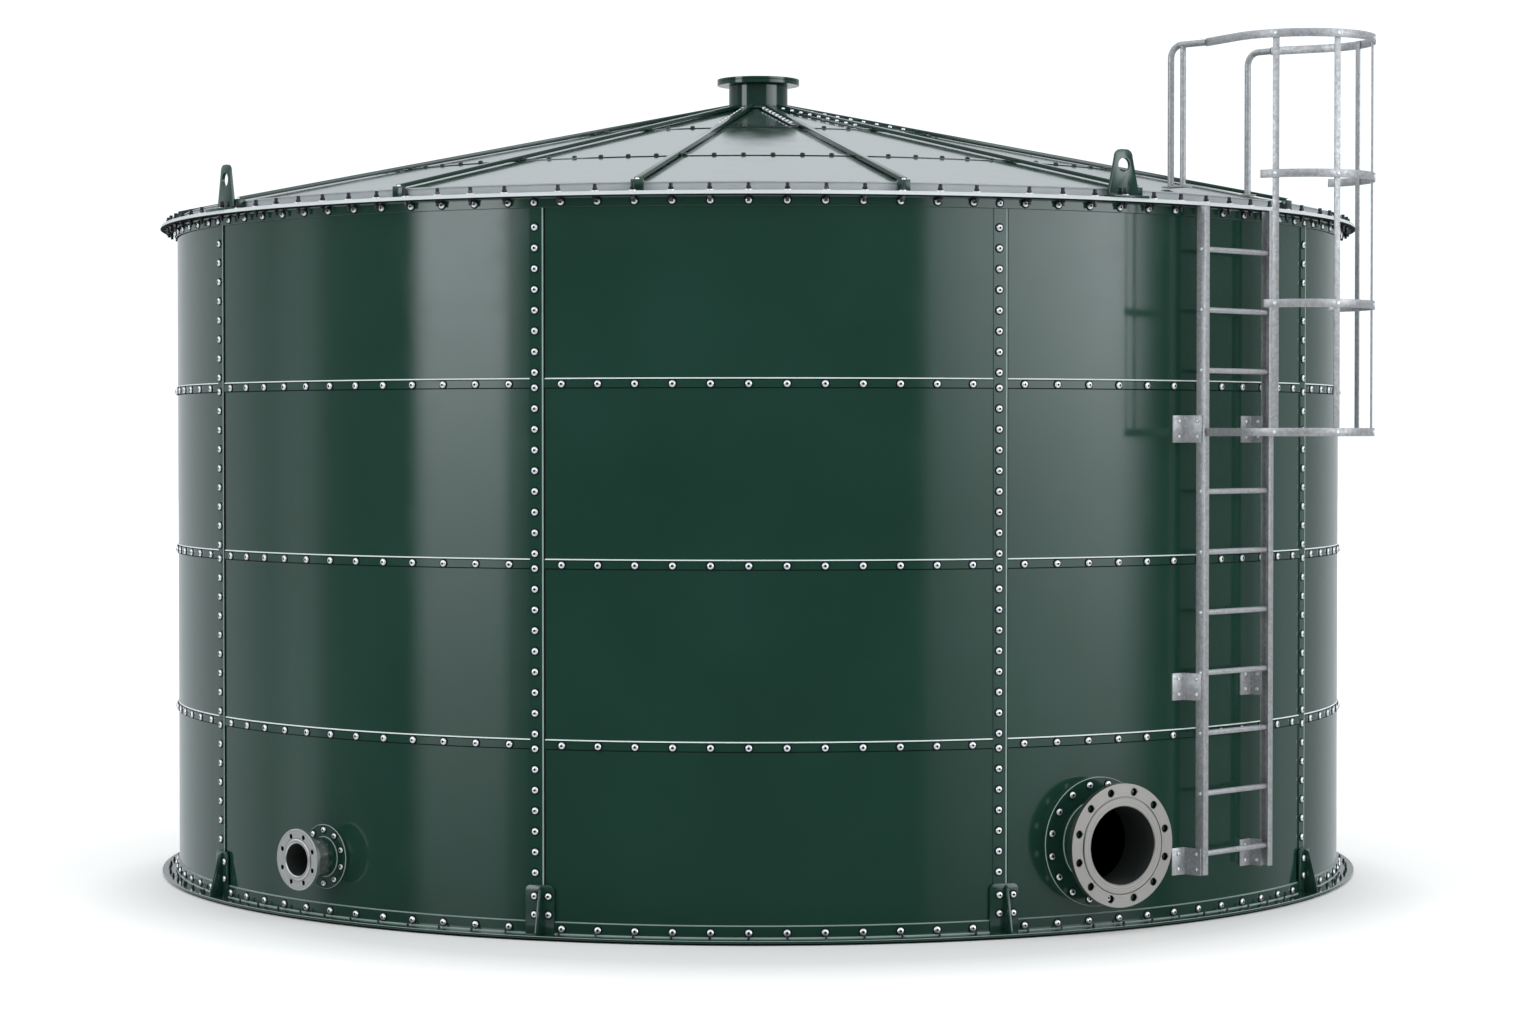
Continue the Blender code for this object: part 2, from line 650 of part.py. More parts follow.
def tube(name, route, radius, sides=8):
    """Round tube along a route of (x, z) points in the local XZ plane."""
    turns = [2 * math.pi * (k + 0.5) / sides for k in range(sides)]
    points = []
    for i in range(len(route)):
        before, after = Vector(route[max(i - 1, 0)]), Vector(route[min(i + 1, len(route) - 1)])
        along = (after - before).normalized()
        for t in turns:
            out = radius * math.sin(t)
            x, z = route[i][0] - along.y * out, route[i][1] + along.x * out
            points.append((x, radius * math.cos(t), z))
    last = (len(route) - 1) * sides
    faces = [tuple(range(sides)), tuple(range(last, last + sides))]
    for a in range(0, last, sides):
        b = a + sides
        faces += [(a + k, a + (k + 1) % sides, b + (k + 1) % sides, b + k) for k in range(sides)]
    return mesh_from(name, points, faces)


def build_rails():
    """Tubes that rise from the roof's edge and bend outwards. The near one has a second post."""
    top = HOOP_HEIGHTS[-1]
    turns = [math.radians(90 * i / 5) for i in range(6)]
    for side, sign in (("near", -1), ("far", 1)):
        place = station(LADDER_ANGLE) @ Matrix.Translation((0, sign * STRINGER_OFFSET, 0))
        post = RAIL_INNER_POST if side == "near" else RAIL_OUTER_POST
        foot = roof_top(post - RAIL_FOOT_HALF) + 0.001
        bend = [
            (post + RAIL_BEND * (1 - math.cos(t)), top - RAIL_BEND + RAIL_BEND * math.sin(t))
            for t in turns
        ]
        route = [(post, foot + 0.002)] + bend + [(RAIL_END, top)]
        name = f"hand_rail_{side}"
        rail = add_object(name, tube(name, route, RAIL_RADIUS), ZINC, place)
        last = RAIL_OUTER_POST
        reach = (post - RAIL_FOOT_HALF, last + RAIL_FOOT_HALF)
        rise = (foot, foot + RAIL_FOOT_THICKNESS)
        parts = [block("rail_foot", reach, (-RAIL_FOOT_HALF, RAIL_FOOT_HALF), rise)]
        if side == "near":
            stay = [(last, foot + 0.003), (last, top - 0.002)]
            parts.append(tube("stay", stay, RAIL_RADIUS * 0.9))
        combine(rail, "UNION", parts, place)


for existing in list(bpy.data.objects):
    bpy.data.objects.remove(existing)

GREEN = material("green_paint", (0.010, 0.036, 0.025), 0.25, 0.0)
DARK = material("dark_underside", (0.020, 0.024, 0.022), 0.60, 0.0)
ZINC = material("galvanised_steel", (0.48, 0.49, 0.51), 0.45, 1.0)
STAINLESS = material("stainless_steel", (0.62, 0.61, 0.60), 0.30, 1.0)

build_base()
build_bays()
build_top_ring()
build_roof()
build_ribs()
build_neck()
build_lugs()
build_nozzle(LARGE_NOZZLE)
build_nozzle(SMALL_NOZZLE)
build_ladder()
build_brackets()
build_cage()
build_rails()
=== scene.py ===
# %% [markdown]
# # A bolted steel tank
# The tank is a shell of lapped plates between two angle rings, under a low cone of roof sheets.
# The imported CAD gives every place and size. This script adds round surfaces, rolled and lapped
# edges, fasteners, folded sections and finishes, all in metres in the CAD's frame.
# Angles round the tank are in degrees from the front (-Y), positive towards +X.

# %% Load the frame
import math
import random

import bmesh
import bpy
from mathutils import Matrix, Vector


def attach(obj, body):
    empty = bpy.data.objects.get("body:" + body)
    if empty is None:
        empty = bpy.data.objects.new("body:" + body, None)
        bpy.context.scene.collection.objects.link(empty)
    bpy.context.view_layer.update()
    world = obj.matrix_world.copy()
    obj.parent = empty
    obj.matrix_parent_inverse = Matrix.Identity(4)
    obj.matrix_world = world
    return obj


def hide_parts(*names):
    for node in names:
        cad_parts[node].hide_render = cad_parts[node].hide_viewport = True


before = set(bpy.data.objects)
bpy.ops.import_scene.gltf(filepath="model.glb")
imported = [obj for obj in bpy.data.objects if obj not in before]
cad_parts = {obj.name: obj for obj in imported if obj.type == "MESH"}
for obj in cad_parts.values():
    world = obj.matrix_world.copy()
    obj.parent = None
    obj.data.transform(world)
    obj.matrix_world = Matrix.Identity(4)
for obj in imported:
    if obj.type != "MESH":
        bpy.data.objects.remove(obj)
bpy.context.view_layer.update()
random.seed(4)

# %% [markdown]
# ## Driving sizes
# These repeat the named values of the CAD source, because a bolt has to land on its own lap and a
# rung in its own stringer. Everything else in the script is worked out from them.

# %% Shell, rings and roof
SHELL = 3.250
PLATE = 0.006
BAYS = 9
BAY_ANGLE = 360 / BAYS
FIRST_SEAM = -19.2
SEAM_BEFORE = 0.027
SEAM_AFTER = 0.045
COURSE_PITCH = 0.866
BASE_ROW = 0.065
TOP_ROW = 3.531
LAP_ROWS = [BASE_ROW + COURSE_PITCH * course for course in (1, 2, 3)]
LAP_BELOW = 0.017
LAP_ABOVE = 0.024
LAP_RISE = 0.004
WALL_BOTTOM = 0.0124
WALL_TOP = 3.5436
RING_RADIUS = 3.344
RING_THICKNESS = 0.010
LEG_FACE = SHELL + 0.0004 + RING_THICKNESS
FLANGE_MIDDLE = (LEG_FACE + RING_RADIUS) / 2
BASE_FLANGE_TOP = 0.024
BASE_LEG_TOP = 0.083
TOP_LEG_BOTTOM = 3.506
TOP_FLANGE_BOTTOM = 3.555
TOP_FLANGE_TOP = 3.5745
TOP_STEP = 3.235
LIP_RADIUS = 3.190
LIP_TOP = 3.556
EAVE = 3.619
EAVE_RADIUS = 3.220
ROOF_EDGE = 3.225
ROOF_SLOPE = 0.2093
ROOF_LAPS = (2.262, 1.098)
ROOF_LAP_HALF = 0.025
ROOF_LAP_RISE = 0.0035
RIB_END = 3.250
RIB_FOOT_TOP = 3.634
NECK_RADIUS = 0.166
NECK_TOP = 4.422
NECK_FLANGE = 0.232
NECK_FLANGE_DEPTH = 0.020
RIBS = 16
FIRST_RIB = 12.3
LUG_ANGLES = (33.0, 123.0, 213.0, 303.0)
LUG_FACES = (3.263, 3.279)
LUG_TOP = 3.815
LUG_EYE = 3.737
ROUND_STEPS = 240

# %% Nozzles, ladder and cage
LARGE = dict(
    name="large", angle=30.6, height=0.4345, bore=0.190, pipe=0.207, pad=0.317, pad_bolts=16,
    pad_circle=0.284, flange=0.301, raised=0.234, hole_circle=0.265, hole=0.0165, holes=12,
    face=3.4645, thickness=0.030, stub=0.207, stub_length=0.020, first_bolt=0.5, cutout=0.222,
    steel=(0.33, 0.31, 0.29),
)
SMALL = dict(
    name="small", angle=-41.6, height=0.3185, bore=0.0806, pipe=0.0975, pad=0.161, pad_bolts=10,
    pad_circle=0.1335, flange=0.152, raised=0.103, hole_circle=0.121, hole=0.0105, holes=8,
    face=3.444, thickness=0.022, stub=0.0885, stub_length=0.107, first_bolt=0.0, cutout=0.135,
    steel=(0.72, 0.71, 0.70),
)
PIPE_START = 3.225
PAD_FACE = SHELL + 0.0124
LADDER_ANGLE = 45.8
LADDER_FRONT = 3.3605
STRINGER_DEPTH = 0.050
STRINGER_WIDTH = 0.040
STRINGER_OFFSET = 0.270
STRINGER_FOOT = 0.235
STRINGER_HEAD = 3.552
RUNG_LINE = 3.3395
RUNG_HEIGHTS = [0.340 + 0.300 * number for number in range(11)]
BRACKETS = {"low": 0.300, "middle": 1.170, "high": 2.450}
CAGE_CENTRE = 3.7135
CAGE_RADIUS = 0.374
HOOP_HEIGHTS = (2.434, 3.057, 3.684, 4.360)
BAR_TURNS = (-72.0, -24.0, 24.0, 72.0)

# %% [markdown]
# ## Shapes
# A shape is a list of points and a list of faces. Small makers build one shape each, `placed`
# moves it, and `joined` collects many into one, so a whole row of bolts is one light mesh. The
# alternative, one object a bolt, would give over a thousand objects to keep track of.

# %% Frames and heights
def station(angle, height=0.0):
    """Frame at an angle: X runs outwards, Y round the tank with the angle, Z up."""
    turn = math.radians(angle)
    outwards = Vector((math.sin(turn), -math.cos(turn), 0))
    round_tank = Vector((math.cos(turn), math.sin(turn), 0))
    axes = Matrix((outwards, round_tank, (0, 0, 1))).transposed().to_4x4()
    return Matrix.Translation((0, 0, height)) @ axes


def width_angle(width):
    return math.degrees(width / SHELL)


def roof_top(radius):
    return EAVE + 0.006 + (ROOF_EDGE - radius) * ROOF_SLOPE


def shift(x, y, z):
    return Matrix.Translation((x, y, z))


UPWARDS = Matrix.Rotation(math.radians(-90), 4, "Y")  # turns the X axis to point up
SIDEWAYS = Matrix.Rotation(math.radians(-90), 4, "Z")  # turns the X axis to point along -Y


# %% Joining, extruding and turning
def placed(shape, matrix):
    points, faces = shape
    return [matrix @ Vector(p) for p in points], faces


def joined(shapes):
    points, faces = [], []
    for more_points, more_faces in shapes:
        start = len(points)
        points += list(more_points)
        faces += [tuple(i + start for i in face) for face in more_faces]
    return points, faces


def extruded(outline, low, high, lift):
    """The lift turns an outline point and a depth into XYZ."""
    size = len(outline)
    points = [lift(a, b, depth) for depth in (low, high) for a, b in outline]
    faces = [tuple(range(size)), tuple(range(size, 2 * size))]
    faces += [(i, (i + 1) % size, (i + 1) % size + size, i + size) for i in range(size)]
    return points, faces


def side_plate(outline, low, high):
    return extruded(outline, low, high, lambda x, z, y: (x, y, z))


def flat_plate(outline, low, high):
    return extruded(outline, low, high, lambda x, y, z: (x, y, z))


def face_plate(outline, low, high):
    return extruded(outline, low, high, lambda y, z, x: (x, y, z))


def block(x, y, z):
    return side_plate([(x[0], z[0]), (x[1], z[0]), (x[1], z[1]), (x[0], z[1])], *y)


def turned_up(profile, steps=ROUND_STEPS):
    """Closed (radius, height) profile turned round the tank's axis."""
    size = len(profile)
    points = []
    for step in range(steps):
        turn = 2 * math.pi * step / steps
        points += [(r * math.sin(turn), -r * math.cos(turn), z) for r, z in profile]
    faces = []
    for step in range(steps):
        here, there = step * size, (step + 1) % steps * size
        for i in range(size):
            j = (i + 1) % size
            faces.append((here + i, here + j, there + j, there + i))
    return points, faces


def arc_bar(profile, start, end):
    """Closed (radius, height) profile swept from one angle to another, by about a degree a step."""
    size = len(profile)
    steps = max(1, round(end - start))
    points = []
    for step in range(steps + 1):
        turn = math.radians(start + (end - start) * step / steps)
        points += [(r * math.sin(turn), -r * math.cos(turn), z) for r, z in profile]
    faces = [tuple(range(size)), tuple(range(steps * size, (steps + 1) * size))]
    for here in range(0, steps * size, size):
        for i in range(size):
            j = (i + 1) % size
            faces.append((here + i, here + j, here + size + j, here + size + i))
    return points, faces


def turned_out(profile, steps, closed=False):
    """(distance, radius) profile turned round the local X axis, with its ends capped or joined."""
    size = len(profile)
    points = []
    for x, r in profile:
        for step in range(steps):
            turn = 2 * math.pi * (step + 0.5) / steps
            points.append((x, r * math.cos(turn), r * math.sin(turn)))
    faces = []
    for i in range(size if closed else size - 1):
        a, b = i * steps, (i + 1) % size * steps
        faces += [(a + k, a + (k + 1) % steps, b + (k + 1) % steps, b + k) for k in range(steps)]
    if not closed:
        faces += [tuple(range(steps)), tuple(range((size - 1) * steps, size * steps))]
    return points, faces


def tube(route, radius, sides=20):
    """Round bar along (x, z) points in the local XZ plane."""
    points = []
    for i, here in enumerate(route):
        before, after = route[max(i - 1, 0)], route[min(i + 1, len(route) - 1)]
        along = (Vector(after) - Vector(before)).normalized()
        for side in range(sides):
            turn = 2 * math.pi * side / sides
            out = radius * math.sin(turn)
            points.append((here[0] - along.y * out, radius * math.cos(turn), here[1] + along.x * out))
    last = (len(route) - 1) * sides
    faces = [tuple(range(sides)), tuple(range(last, last + sides))]
    for a in range(0, last, sides):
        b = a + sides
        faces += [(a + k, a + (k + 1) % sides, b + (k + 1) % sides, b + k) for k in range(sides)]
    return points, faces


# %% Turning a shape into a piece
def piece(name, shape, paint, replaces=(), bevel=0.0, holes=None):
    """Object of a shape, with rounded edges and cut holes if asked, riding on the tank."""
    mesh = bpy.data.meshes.new(name)
    mesh.from_pydata(shape[0], [], shape[1])
    work = bmesh.new()
    work.from_mesh(mesh)
    bmesh.ops.recalc_face_normals(work, faces=work.faces)
    if bevel:
        sharp = [e for e in work.edges if len(e.link_faces) == 2 and e.calc_face_angle() > 0.6]
        bmesh.ops.bevel(work, geom=sharp, offset=bevel, segments=2, affect="EDGES", profile=0.5)
    work.to_mesh(mesh)
    work.free()
    obj = bpy.data.objects.new(name, mesh)
    bpy.context.scene.collection.objects.link(obj)
    if holes:
        cut(obj, holes)
    obj.data.shade_smooth()
    obj.data.set_sharp_from_angle(angle=math.radians(32))
    obj.data.materials.clear()
    obj.data.materials.append(paint)
    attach(obj, "root")
    if replaces:
        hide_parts(*replaces)
    return obj


def paint_where(obj, paint, chosen):
    """Gives a second paint to the faces chosen by their centre and normal; several calls use it for
    painted highlights and painted shade.
    """
    obj.data.materials.append(paint)
    for face in obj.data.polygons:
        if chosen(face.center, face.normal):
            face.material_index = len(obj.data.materials) - 1


def cut(obj, shape):
    """Cuts a shape out of an object and keeps only the result."""
    mesh = bpy.data.meshes.new("cutter")
    mesh.from_pydata(shape[0], [], shape[1])
    work = bmesh.new()
    work.from_mesh(mesh)
    bmesh.ops.recalc_face_normals(work, faces=work.faces)
    work.to_mesh(mesh)
    work.free()
    cutter = bpy.data.objects.new("cutter", mesh)
    bpy.context.scene.collection.objects.link(cutter)
    modifier = obj.modifiers.new("Cut", "BOOLEAN")
    modifier.operation = "DIFFERENCE"
    modifier.solver = "EXACT"
    modifier.object = cutter
    bpy.context.view_layer.update()
    result = obj.evaluated_get(bpy.context.evaluated_depsgraph_get())
    obj.data = bpy.data.meshes.new_from_object(result)
    obj.modifiers.clear()
    bpy.data.objects.remove(cutter)


# %% [markdown]
# ## Finishes
# The tank shows four finishes: a dark green gloss, galvanised steel with its spangle, bright zinc
# fasteners and turned stainless flanges. Each shared effect is a node group with named sockets.
# Colour, roughness and height come from the groups, and constants sit on the shader itself.

# %% Node helpers
def new_group(name, inputs, outputs):
    group = bpy.data.node_groups.new(name, "ShaderNodeTree")
    for label, kind, value in inputs:
        socket = group.interface.new_socket(label, in_out="INPUT", socket_type=kind)
        socket.default_value = value
    for label, kind in outputs:
        group.interface.new_socket(label, in_out="OUTPUT", socket_type=kind)
    return group, group.nodes.new("NodeGroupInput"), group.nodes.new("NodeGroupOutput")


def noise(tree, coordinate, scale, detail=3.0):
    node = tree.nodes.new("ShaderNodeTexNoise")
    node.inputs["Scale"].default_value = scale
    node.inputs["Detail"].default_value = detail
    tree.links.new(coordinate, node.inputs["Vector"])
    return node.outputs["Fac"]


def ranged(tree, value, low, high, from_low=0.0, from_high=1.0):
    node = tree.nodes.new("ShaderNodeMapRange")
    node.inputs["From Min"].default_value = from_low
    node.inputs["From Max"].default_value = from_high
    tree.links.new(value, node.inputs["Value"])
    for label, end in (("To Min", low), ("To Max", high)):
        if isinstance(end, (int, float)):
            node.inputs[label].default_value = end
        else:
            tree.links.new(end, node.inputs[label])
    return node.outputs["Result"]


def maths(tree, operation, *values):
    node = tree.nodes.new("ShaderNodeMath")
    node.operation = operation
    for socket, value in zip(node.inputs, values):
        if isinstance(value, (int, float)):
            socket.default_value = value
        else:
            tree.links.new(value, socket)
    return node.outputs[0]


def mixed(tree, factor, first, second):
    node = tree.nodes.new("ShaderNodeMix")
    node.data_type = "RGBA"
    tree.links.new(factor, node.inputs[0])
    tree.links.new(first, node.inputs[6])
    tree.links.new(second, node.inputs[7])
    return node.outputs[2]


# %% The effect groups
def make_paint_film():
    """Gloss paint: slow shifts of tone, orange peel, and dust that settles on level faces."""
    inputs = [
        ("Deep", "NodeSocketColor", (0, 0, 0, 1)),
        ("Worn", "NodeSocketColor", (0, 0, 0, 1)),
        ("Dust", "NodeSocketColor", (0, 0, 0, 1)),
        ("Gloss", "NodeSocketFloat", 0.1),
    ]
    outputs = [
        ("Colour", "NodeSocketColor"),
        ("Roughness", "NodeSocketFloat"),
        ("Height", "NodeSocketFloat"),
    ]
    tree, start, end = new_group("paint_film", inputs, outputs)
    where = tree.nodes.new("ShaderNodeTexCoord").outputs["Object"]
    normal = tree.nodes.new("ShaderNodeNewGeometry").outputs["Normal"]
    split = tree.nodes.new("ShaderNodeSeparateXYZ")
    tree.links.new(normal, split.inputs[0])
    level = ranged(tree, split.outputs["Z"], 0.0, 1.0, 0.85, 1.0)
    patches = ranged(tree, noise(tree, where, 6.0, 6.0), 0.0, 0.12, 0.45, 0.75)
    tone = ranged(tree, noise(tree, where, 1.3), 0.0, 1.0, 0.3, 0.7)
    base = mixed(tree, tone, start.outputs["Deep"], start.outputs["Worn"])
    dust = maths(tree, "MULTIPLY", level, patches)
    tree.links.new(mixed(tree, dust, base, start.outputs["Dust"]), end.inputs["Colour"])
    rougher = maths(tree, "ADD", start.outputs["Gloss"], ranged(tree, patches, 0.0, 0.05, 0.0, 0.12))
    tree.links.new(rougher, end.inputs["Roughness"])
    tree.links.new(noise(tree, where, 140.0, 2.0), end.inputs["Height"])
    return tree


def make_spangle():
    """Zinc crystals: cells of unlike brightness, each with its own sheen."""
    inputs = [
        ("Scale", "NodeSocketFloat", 70.0),
        ("Dark", "NodeSocketColor", (0, 0, 0, 1)),
        ("Light", "NodeSocketColor", (0, 0, 0, 1)),
    ]
    outputs = [
        ("Colour", "NodeSocketColor"),
        ("Roughness", "NodeSocketFloat"),
        ("Height", "NodeSocketFloat"),
    ]
    tree, start, end = new_group("spangle", inputs, outputs)
    where = tree.nodes.new("ShaderNodeTexCoord").outputs["Object"]
    cells = tree.nodes.new("ShaderNodeTexVoronoi")
    tree.links.new(where, cells.inputs["Vector"])
    tree.links.new(start.outputs["Scale"], cells.inputs["Scale"])
    split = tree.nodes.new("ShaderNodeSeparateColor")
    tree.links.new(cells.outputs["Color"], split.inputs[0])
    shade = mixed(tree, split.outputs["Red"], start.outputs["Dark"], start.outputs["Light"])
    tree.links.new(shade, end.inputs["Colour"])
    tree.links.new(ranged(tree, split.outputs["Green"], 0.30, 0.50), end.inputs["Roughness"])
    tree.links.new(noise(tree, where, 55.0, 4.0), end.inputs["Height"])
    return tree


def make_turning_marks():
    """Fine rings that a lathe leaves, spaced by the distance from an axis."""
    inputs = [
        ("Centre", "NodeSocketVector", (0, 0, 0)),
        ("Axis", "NodeSocketVector", (0, 0, 1)),
    ]
    outputs = [("Ring", "NodeSocketFloat"), ("Height", "NodeSocketFloat")]
    tree, start, end = new_group("turning_marks", inputs, outputs)
    where = tree.nodes.new("ShaderNodeTexCoord").outputs["Object"]
    away = tree.nodes.new("ShaderNodeVectorMath")
    away.operation = "SUBTRACT"
    tree.links.new(where, away.inputs[0])
    tree.links.new(start.outputs["Centre"], away.inputs[1])
    across = tree.nodes.new("ShaderNodeVectorMath")
    across.operation = "CROSS_PRODUCT"
    tree.links.new(away.outputs["Vector"], across.inputs[0])
    tree.links.new(start.outputs["Axis"], across.inputs[1])
    radius = tree.nodes.new("ShaderNodeVectorMath")
    radius.operation = "LENGTH"
    tree.links.new(across.outputs["Vector"], radius.inputs[0])
    wave = maths(tree, "SINE", maths(tree, "MULTIPLY", radius.outputs["Value"], 1400.0))
    rings = tree.nodes.new("ShaderNodeTexNoise")
    rings.noise_dimensions = "1D"
    rings.inputs["Scale"].default_value = 160.0
    tree.links.new(radius.outputs["Value"], rings.inputs["W"])
    tree.links.new(rings.outputs["Fac"], end.inputs["Ring"])
    tree.links.new(wave, end.inputs["Height"])
    return tree


PAINT_FILM = make_paint_film()
SPANGLE = make_spangle()
TURNING_MARKS = make_turning_marks()
print("groups", [g.name for g in (PAINT_FILM, SPANGLE, TURNING_MARKS)])


# %% The materials
def new_material(name, effect, metallic=0.0, bump=0.0002):
    """Material with an effect group and a bump of that depth in metres."""
    made = bpy.data.materials.new(name)
    made.use_nodes = True
    tree = made.node_tree
    shader = tree.nodes["Principled BSDF"]
    shader.inputs["Metallic"].default_value = metallic
    node = tree.nodes.new("ShaderNodeGroup")
    node.node_tree = effect
    relief = tree.nodes.new("ShaderNodeBump")
    relief.inputs["Distance"].default_value = bump
    tree.links.new(node.outputs["Height"], relief.inputs["Height"])
    tree.links.new(relief.outputs["Normal"], shader.inputs["Normal"])
    if "Colour" in node.outputs:
        tree.links.new(node.outputs["Colour"], shader.inputs["Base Color"])
        tree.links.new(node.outputs["Roughness"], shader.inputs["Roughness"])
    return made, node, shader


def paint_material(name, deep, worn, gloss, bump):
    made, node, _ = new_material(name, PAINT_FILM, 0.0, bump)
    node.inputs["Deep"].default_value = (*deep, 1)
    node.inputs["Worn"].default_value = (*worn, 1)
    node.inputs["Dust"].default_value = (0.30, 0.31, 0.30, 1)
    node.inputs["Gloss"].default_value = gloss
    return made


def zinc_material(name, scale, dark, light, metallic, bump):
    made, node, _ = new_material(name, SPANGLE, metallic, bump)
    node.inputs["Scale"].default_value = scale
    node.inputs["Dark"].default_value = (dark, dark, dark * 1.02, 1)
    node.inputs["Light"].default_value = (light, light, light * 1.02, 1)
    return made


def stainless_material(nozzle):
    made, node, shader = new_material(nozzle["name"] + "_stainless", TURNING_MARKS, 1.0, 0.00004)
    place = station(nozzle["angle"], nozzle["height"])
    node.inputs["Centre"].default_value = place.to_translation()
    node.inputs["Axis"].default_value = place.to_3x3() @ Vector((1, 0, 0))
    tree = made.node_tree
    tree.links.new(ranged(tree, node.outputs["Ring"], 0.22, 0.42), shader.inputs["Roughness"])
    ramp = tree.nodes.new("ShaderNodeValToRGB")
    ramp.color_ramp.elements[0].color = (*[0.75 * shade for shade in nozzle["steel"]], 1)
    ramp.color_ramp.elements[1].color = (*nozzle["steel"], 1)
    tree.links.new(node.outputs["Ring"], ramp.inputs["Fac"])
    tree.links.new(ramp.outputs["Color"], shader.inputs["Base Color"])
    return made


GREEN = paint_material("green_gloss", (0.0085, 0.033, 0.022), (0.0105, 0.039, 0.027), 0.09, 0.00002)
# Dark paint for painted shade inside the bores.
BORE_SHADE = paint_material("painted_bore_shade", (0.015, 0.018, 0.017), (0.028, 0.032, 0.030), 0.55, 0.0003)
# Black for fasteners; on the hanging nuts and base studs it is painted shade.
BLACK = paint_material("black_fastener_and_shade", (0.004, 0.005, 0.005), (0.010, 0.011, 0.011), 0.28, 0.0002)
# Pale bead paint: a painted highlight on the lap beads.
BEAD_HIGHLIGHT = paint_material("bead_painted_highlight", (0.62, 0.68, 0.65), (0.70, 0.75, 0.73), 0.40, 0.0003)
# Dull pale paint: a painted highlight on upright beads, the ledge bead and chamfers that look up.
DULL_HIGHLIGHT = paint_material("dull_painted_highlight", (0.21, 0.28, 0.25), (0.25, 0.32, 0.28), 0.45, 0.0003)
# Matt black for painted shade: in corners, under flanges, in holes and round bolt heads.
SHADE = paint_material("painted_shade_black", (0.002, 0.003, 0.003), (0.005, 0.006, 0.006), 0.80, 0.0002)
SHADE.node_tree.nodes["Principled BSDF"].inputs["Specular IOR Level"].default_value = 0.08
# Pale rim paint: a painted highlight on the top ring's faces that look up.
RIM_HIGHLIGHT = paint_material("rim_painted_highlight", (0.50, 0.52, 0.52), (0.58, 0.60, 0.60), 0.50, 0.0003)
STRIP = paint_material("dull_zinc", (0.43, 0.45, 0.46), (0.48, 0.50, 0.51), 0.55, 0.0001)
GALVANISED = zinc_material("galvanised", 75.0, 0.30, 0.41, 0.5, 0.0003)
ZINC = zinc_material("zinc_fastener", 240.0, 0.80, 0.94, 1.0, 0.0001)
FINISHES = (GREEN, BORE_SHADE, BLACK, SHADE, BEAD_HIGHLIGHT, DULL_HIGHLIGHT, RIM_HIGHLIGHT, STRIP, GALVANISED, ZINC)
print("materials", [m.name for m in FINISHES])

# %% [markdown]
# ## The wall
# Each bay is a column of rolled plates. A plate's upper edge lies over the next, which leaves a
# lit ledge above every bolt row, and the bay's last edge lies over its neighbour. A separate mesh
# a plate would need hidden overlaps, so a bay is one grid of points pushed out by a height that
# depends on the place. The CAD's flat facets would break the long reflections, so these grids
# step by one degree instead.

# %% Wall bays
STEP = 0.0012  # width of the small slope at a plate's edge


def wall_levels():
    """Heights up the wall, each with how far the plate stands out there."""
    levels = [(WALL_BOTTOM, 0.0), (BASE_LEG_TOP, 0.0), (BASE_LEG_TOP + STEP, 0.0)]
    for row in LAP_ROWS:
        levels += [
            (row - LAP_BELOW - 2 * STEP, 0.0),
            (row - LAP_BELOW, LAP_RISE),
            (row + LAP_ABOVE, LAP_RISE),
            (row + LAP_ABOVE + STEP, 0.0),
        ]
    levels += [(TOP_LEG_BOTTOM - STEP, 0.0), (TOP_LEG_BOTTOM, 0.0), (WALL_TOP, 0.0)]
    return levels


def wall_shape(bay):
    seam = FIRST_SEAM + BAY_ANGLE * (bay + 1)
    start = seam - BAY_ANGLE + width_angle(SEAM_AFTER + 0.0006)
    lap = seam - width_angle(SEAM_BEFORE)
    end = seam + width_angle(SEAM_AFTER)
    middle = [start + i for i in range(1, int(lap - start))]
    angles = [start, *middle, lap - width_angle(2 * STEP), lap, seam, end]
    levels = wall_levels()
    outer, inner = [], []
    for angle in angles:
        turn = math.radians(angle)
        raised = angle >= lap
        for height, rise in levels:
            under_ring = height <= BASE_LEG_TOP or height >= TOP_LEG_BOTTOM
            out = SHELL + (0.0 if under_ring else PLATE if raised else rise)
            outer.append((out * math.sin(turn), -out * math.cos(turn), height))
            back = SHELL - PLATE
            inner.append((back * math.sin(turn), -back * math.cos(turn), height))
    rows, columns, count = len(levels), len(angles), len(outer)
    faces = []
    for column in range(columns - 1):
        for row in range(rows - 1):
            a = column * rows + row
            quad = (a, a + rows, a + rows + 1, a + 1)
            faces.append(quad)
            faces.append(tuple(i + count for i in reversed(quad)))
    for row in range(rows - 1):
        for a in (row, (columns - 1) * rows + row):
            faces.append((a, a + 1, a + 1 + count, a + count))
    for column in range(columns - 1):
        for a in (column * rows, column * rows + rows - 1):
            faces.append((a, a + rows, a + rows + count, a + count))
    return outer + inner, faces


def nozzle_place(nozzle):
    return station(nozzle["angle"], nozzle["height"])


for bay in range(BAYS):
    opening = None
    seam = FIRST_SEAM + BAY_ANGLE * bay
    for nozzle in (LARGE, SMALL):
        if 0 < (nozzle["angle"] - seam) % 360 < BAY_ANGLE:
            cutout = [(SHELL - 0.1, nozzle["cutout"]), (SHELL + 0.1, nozzle["cutout"])]
            opening = placed(turned_out(cutout, 64), nozzle_place(nozzle))
    node = f"wall_bay_{bay + 1}"
    wall = piece(f"wall_{bay + 1}", wall_shape(bay), GREEN, [node], holes=opening)
print("wall bays", BAYS, "faces in the last", len(wall.data.polygons))
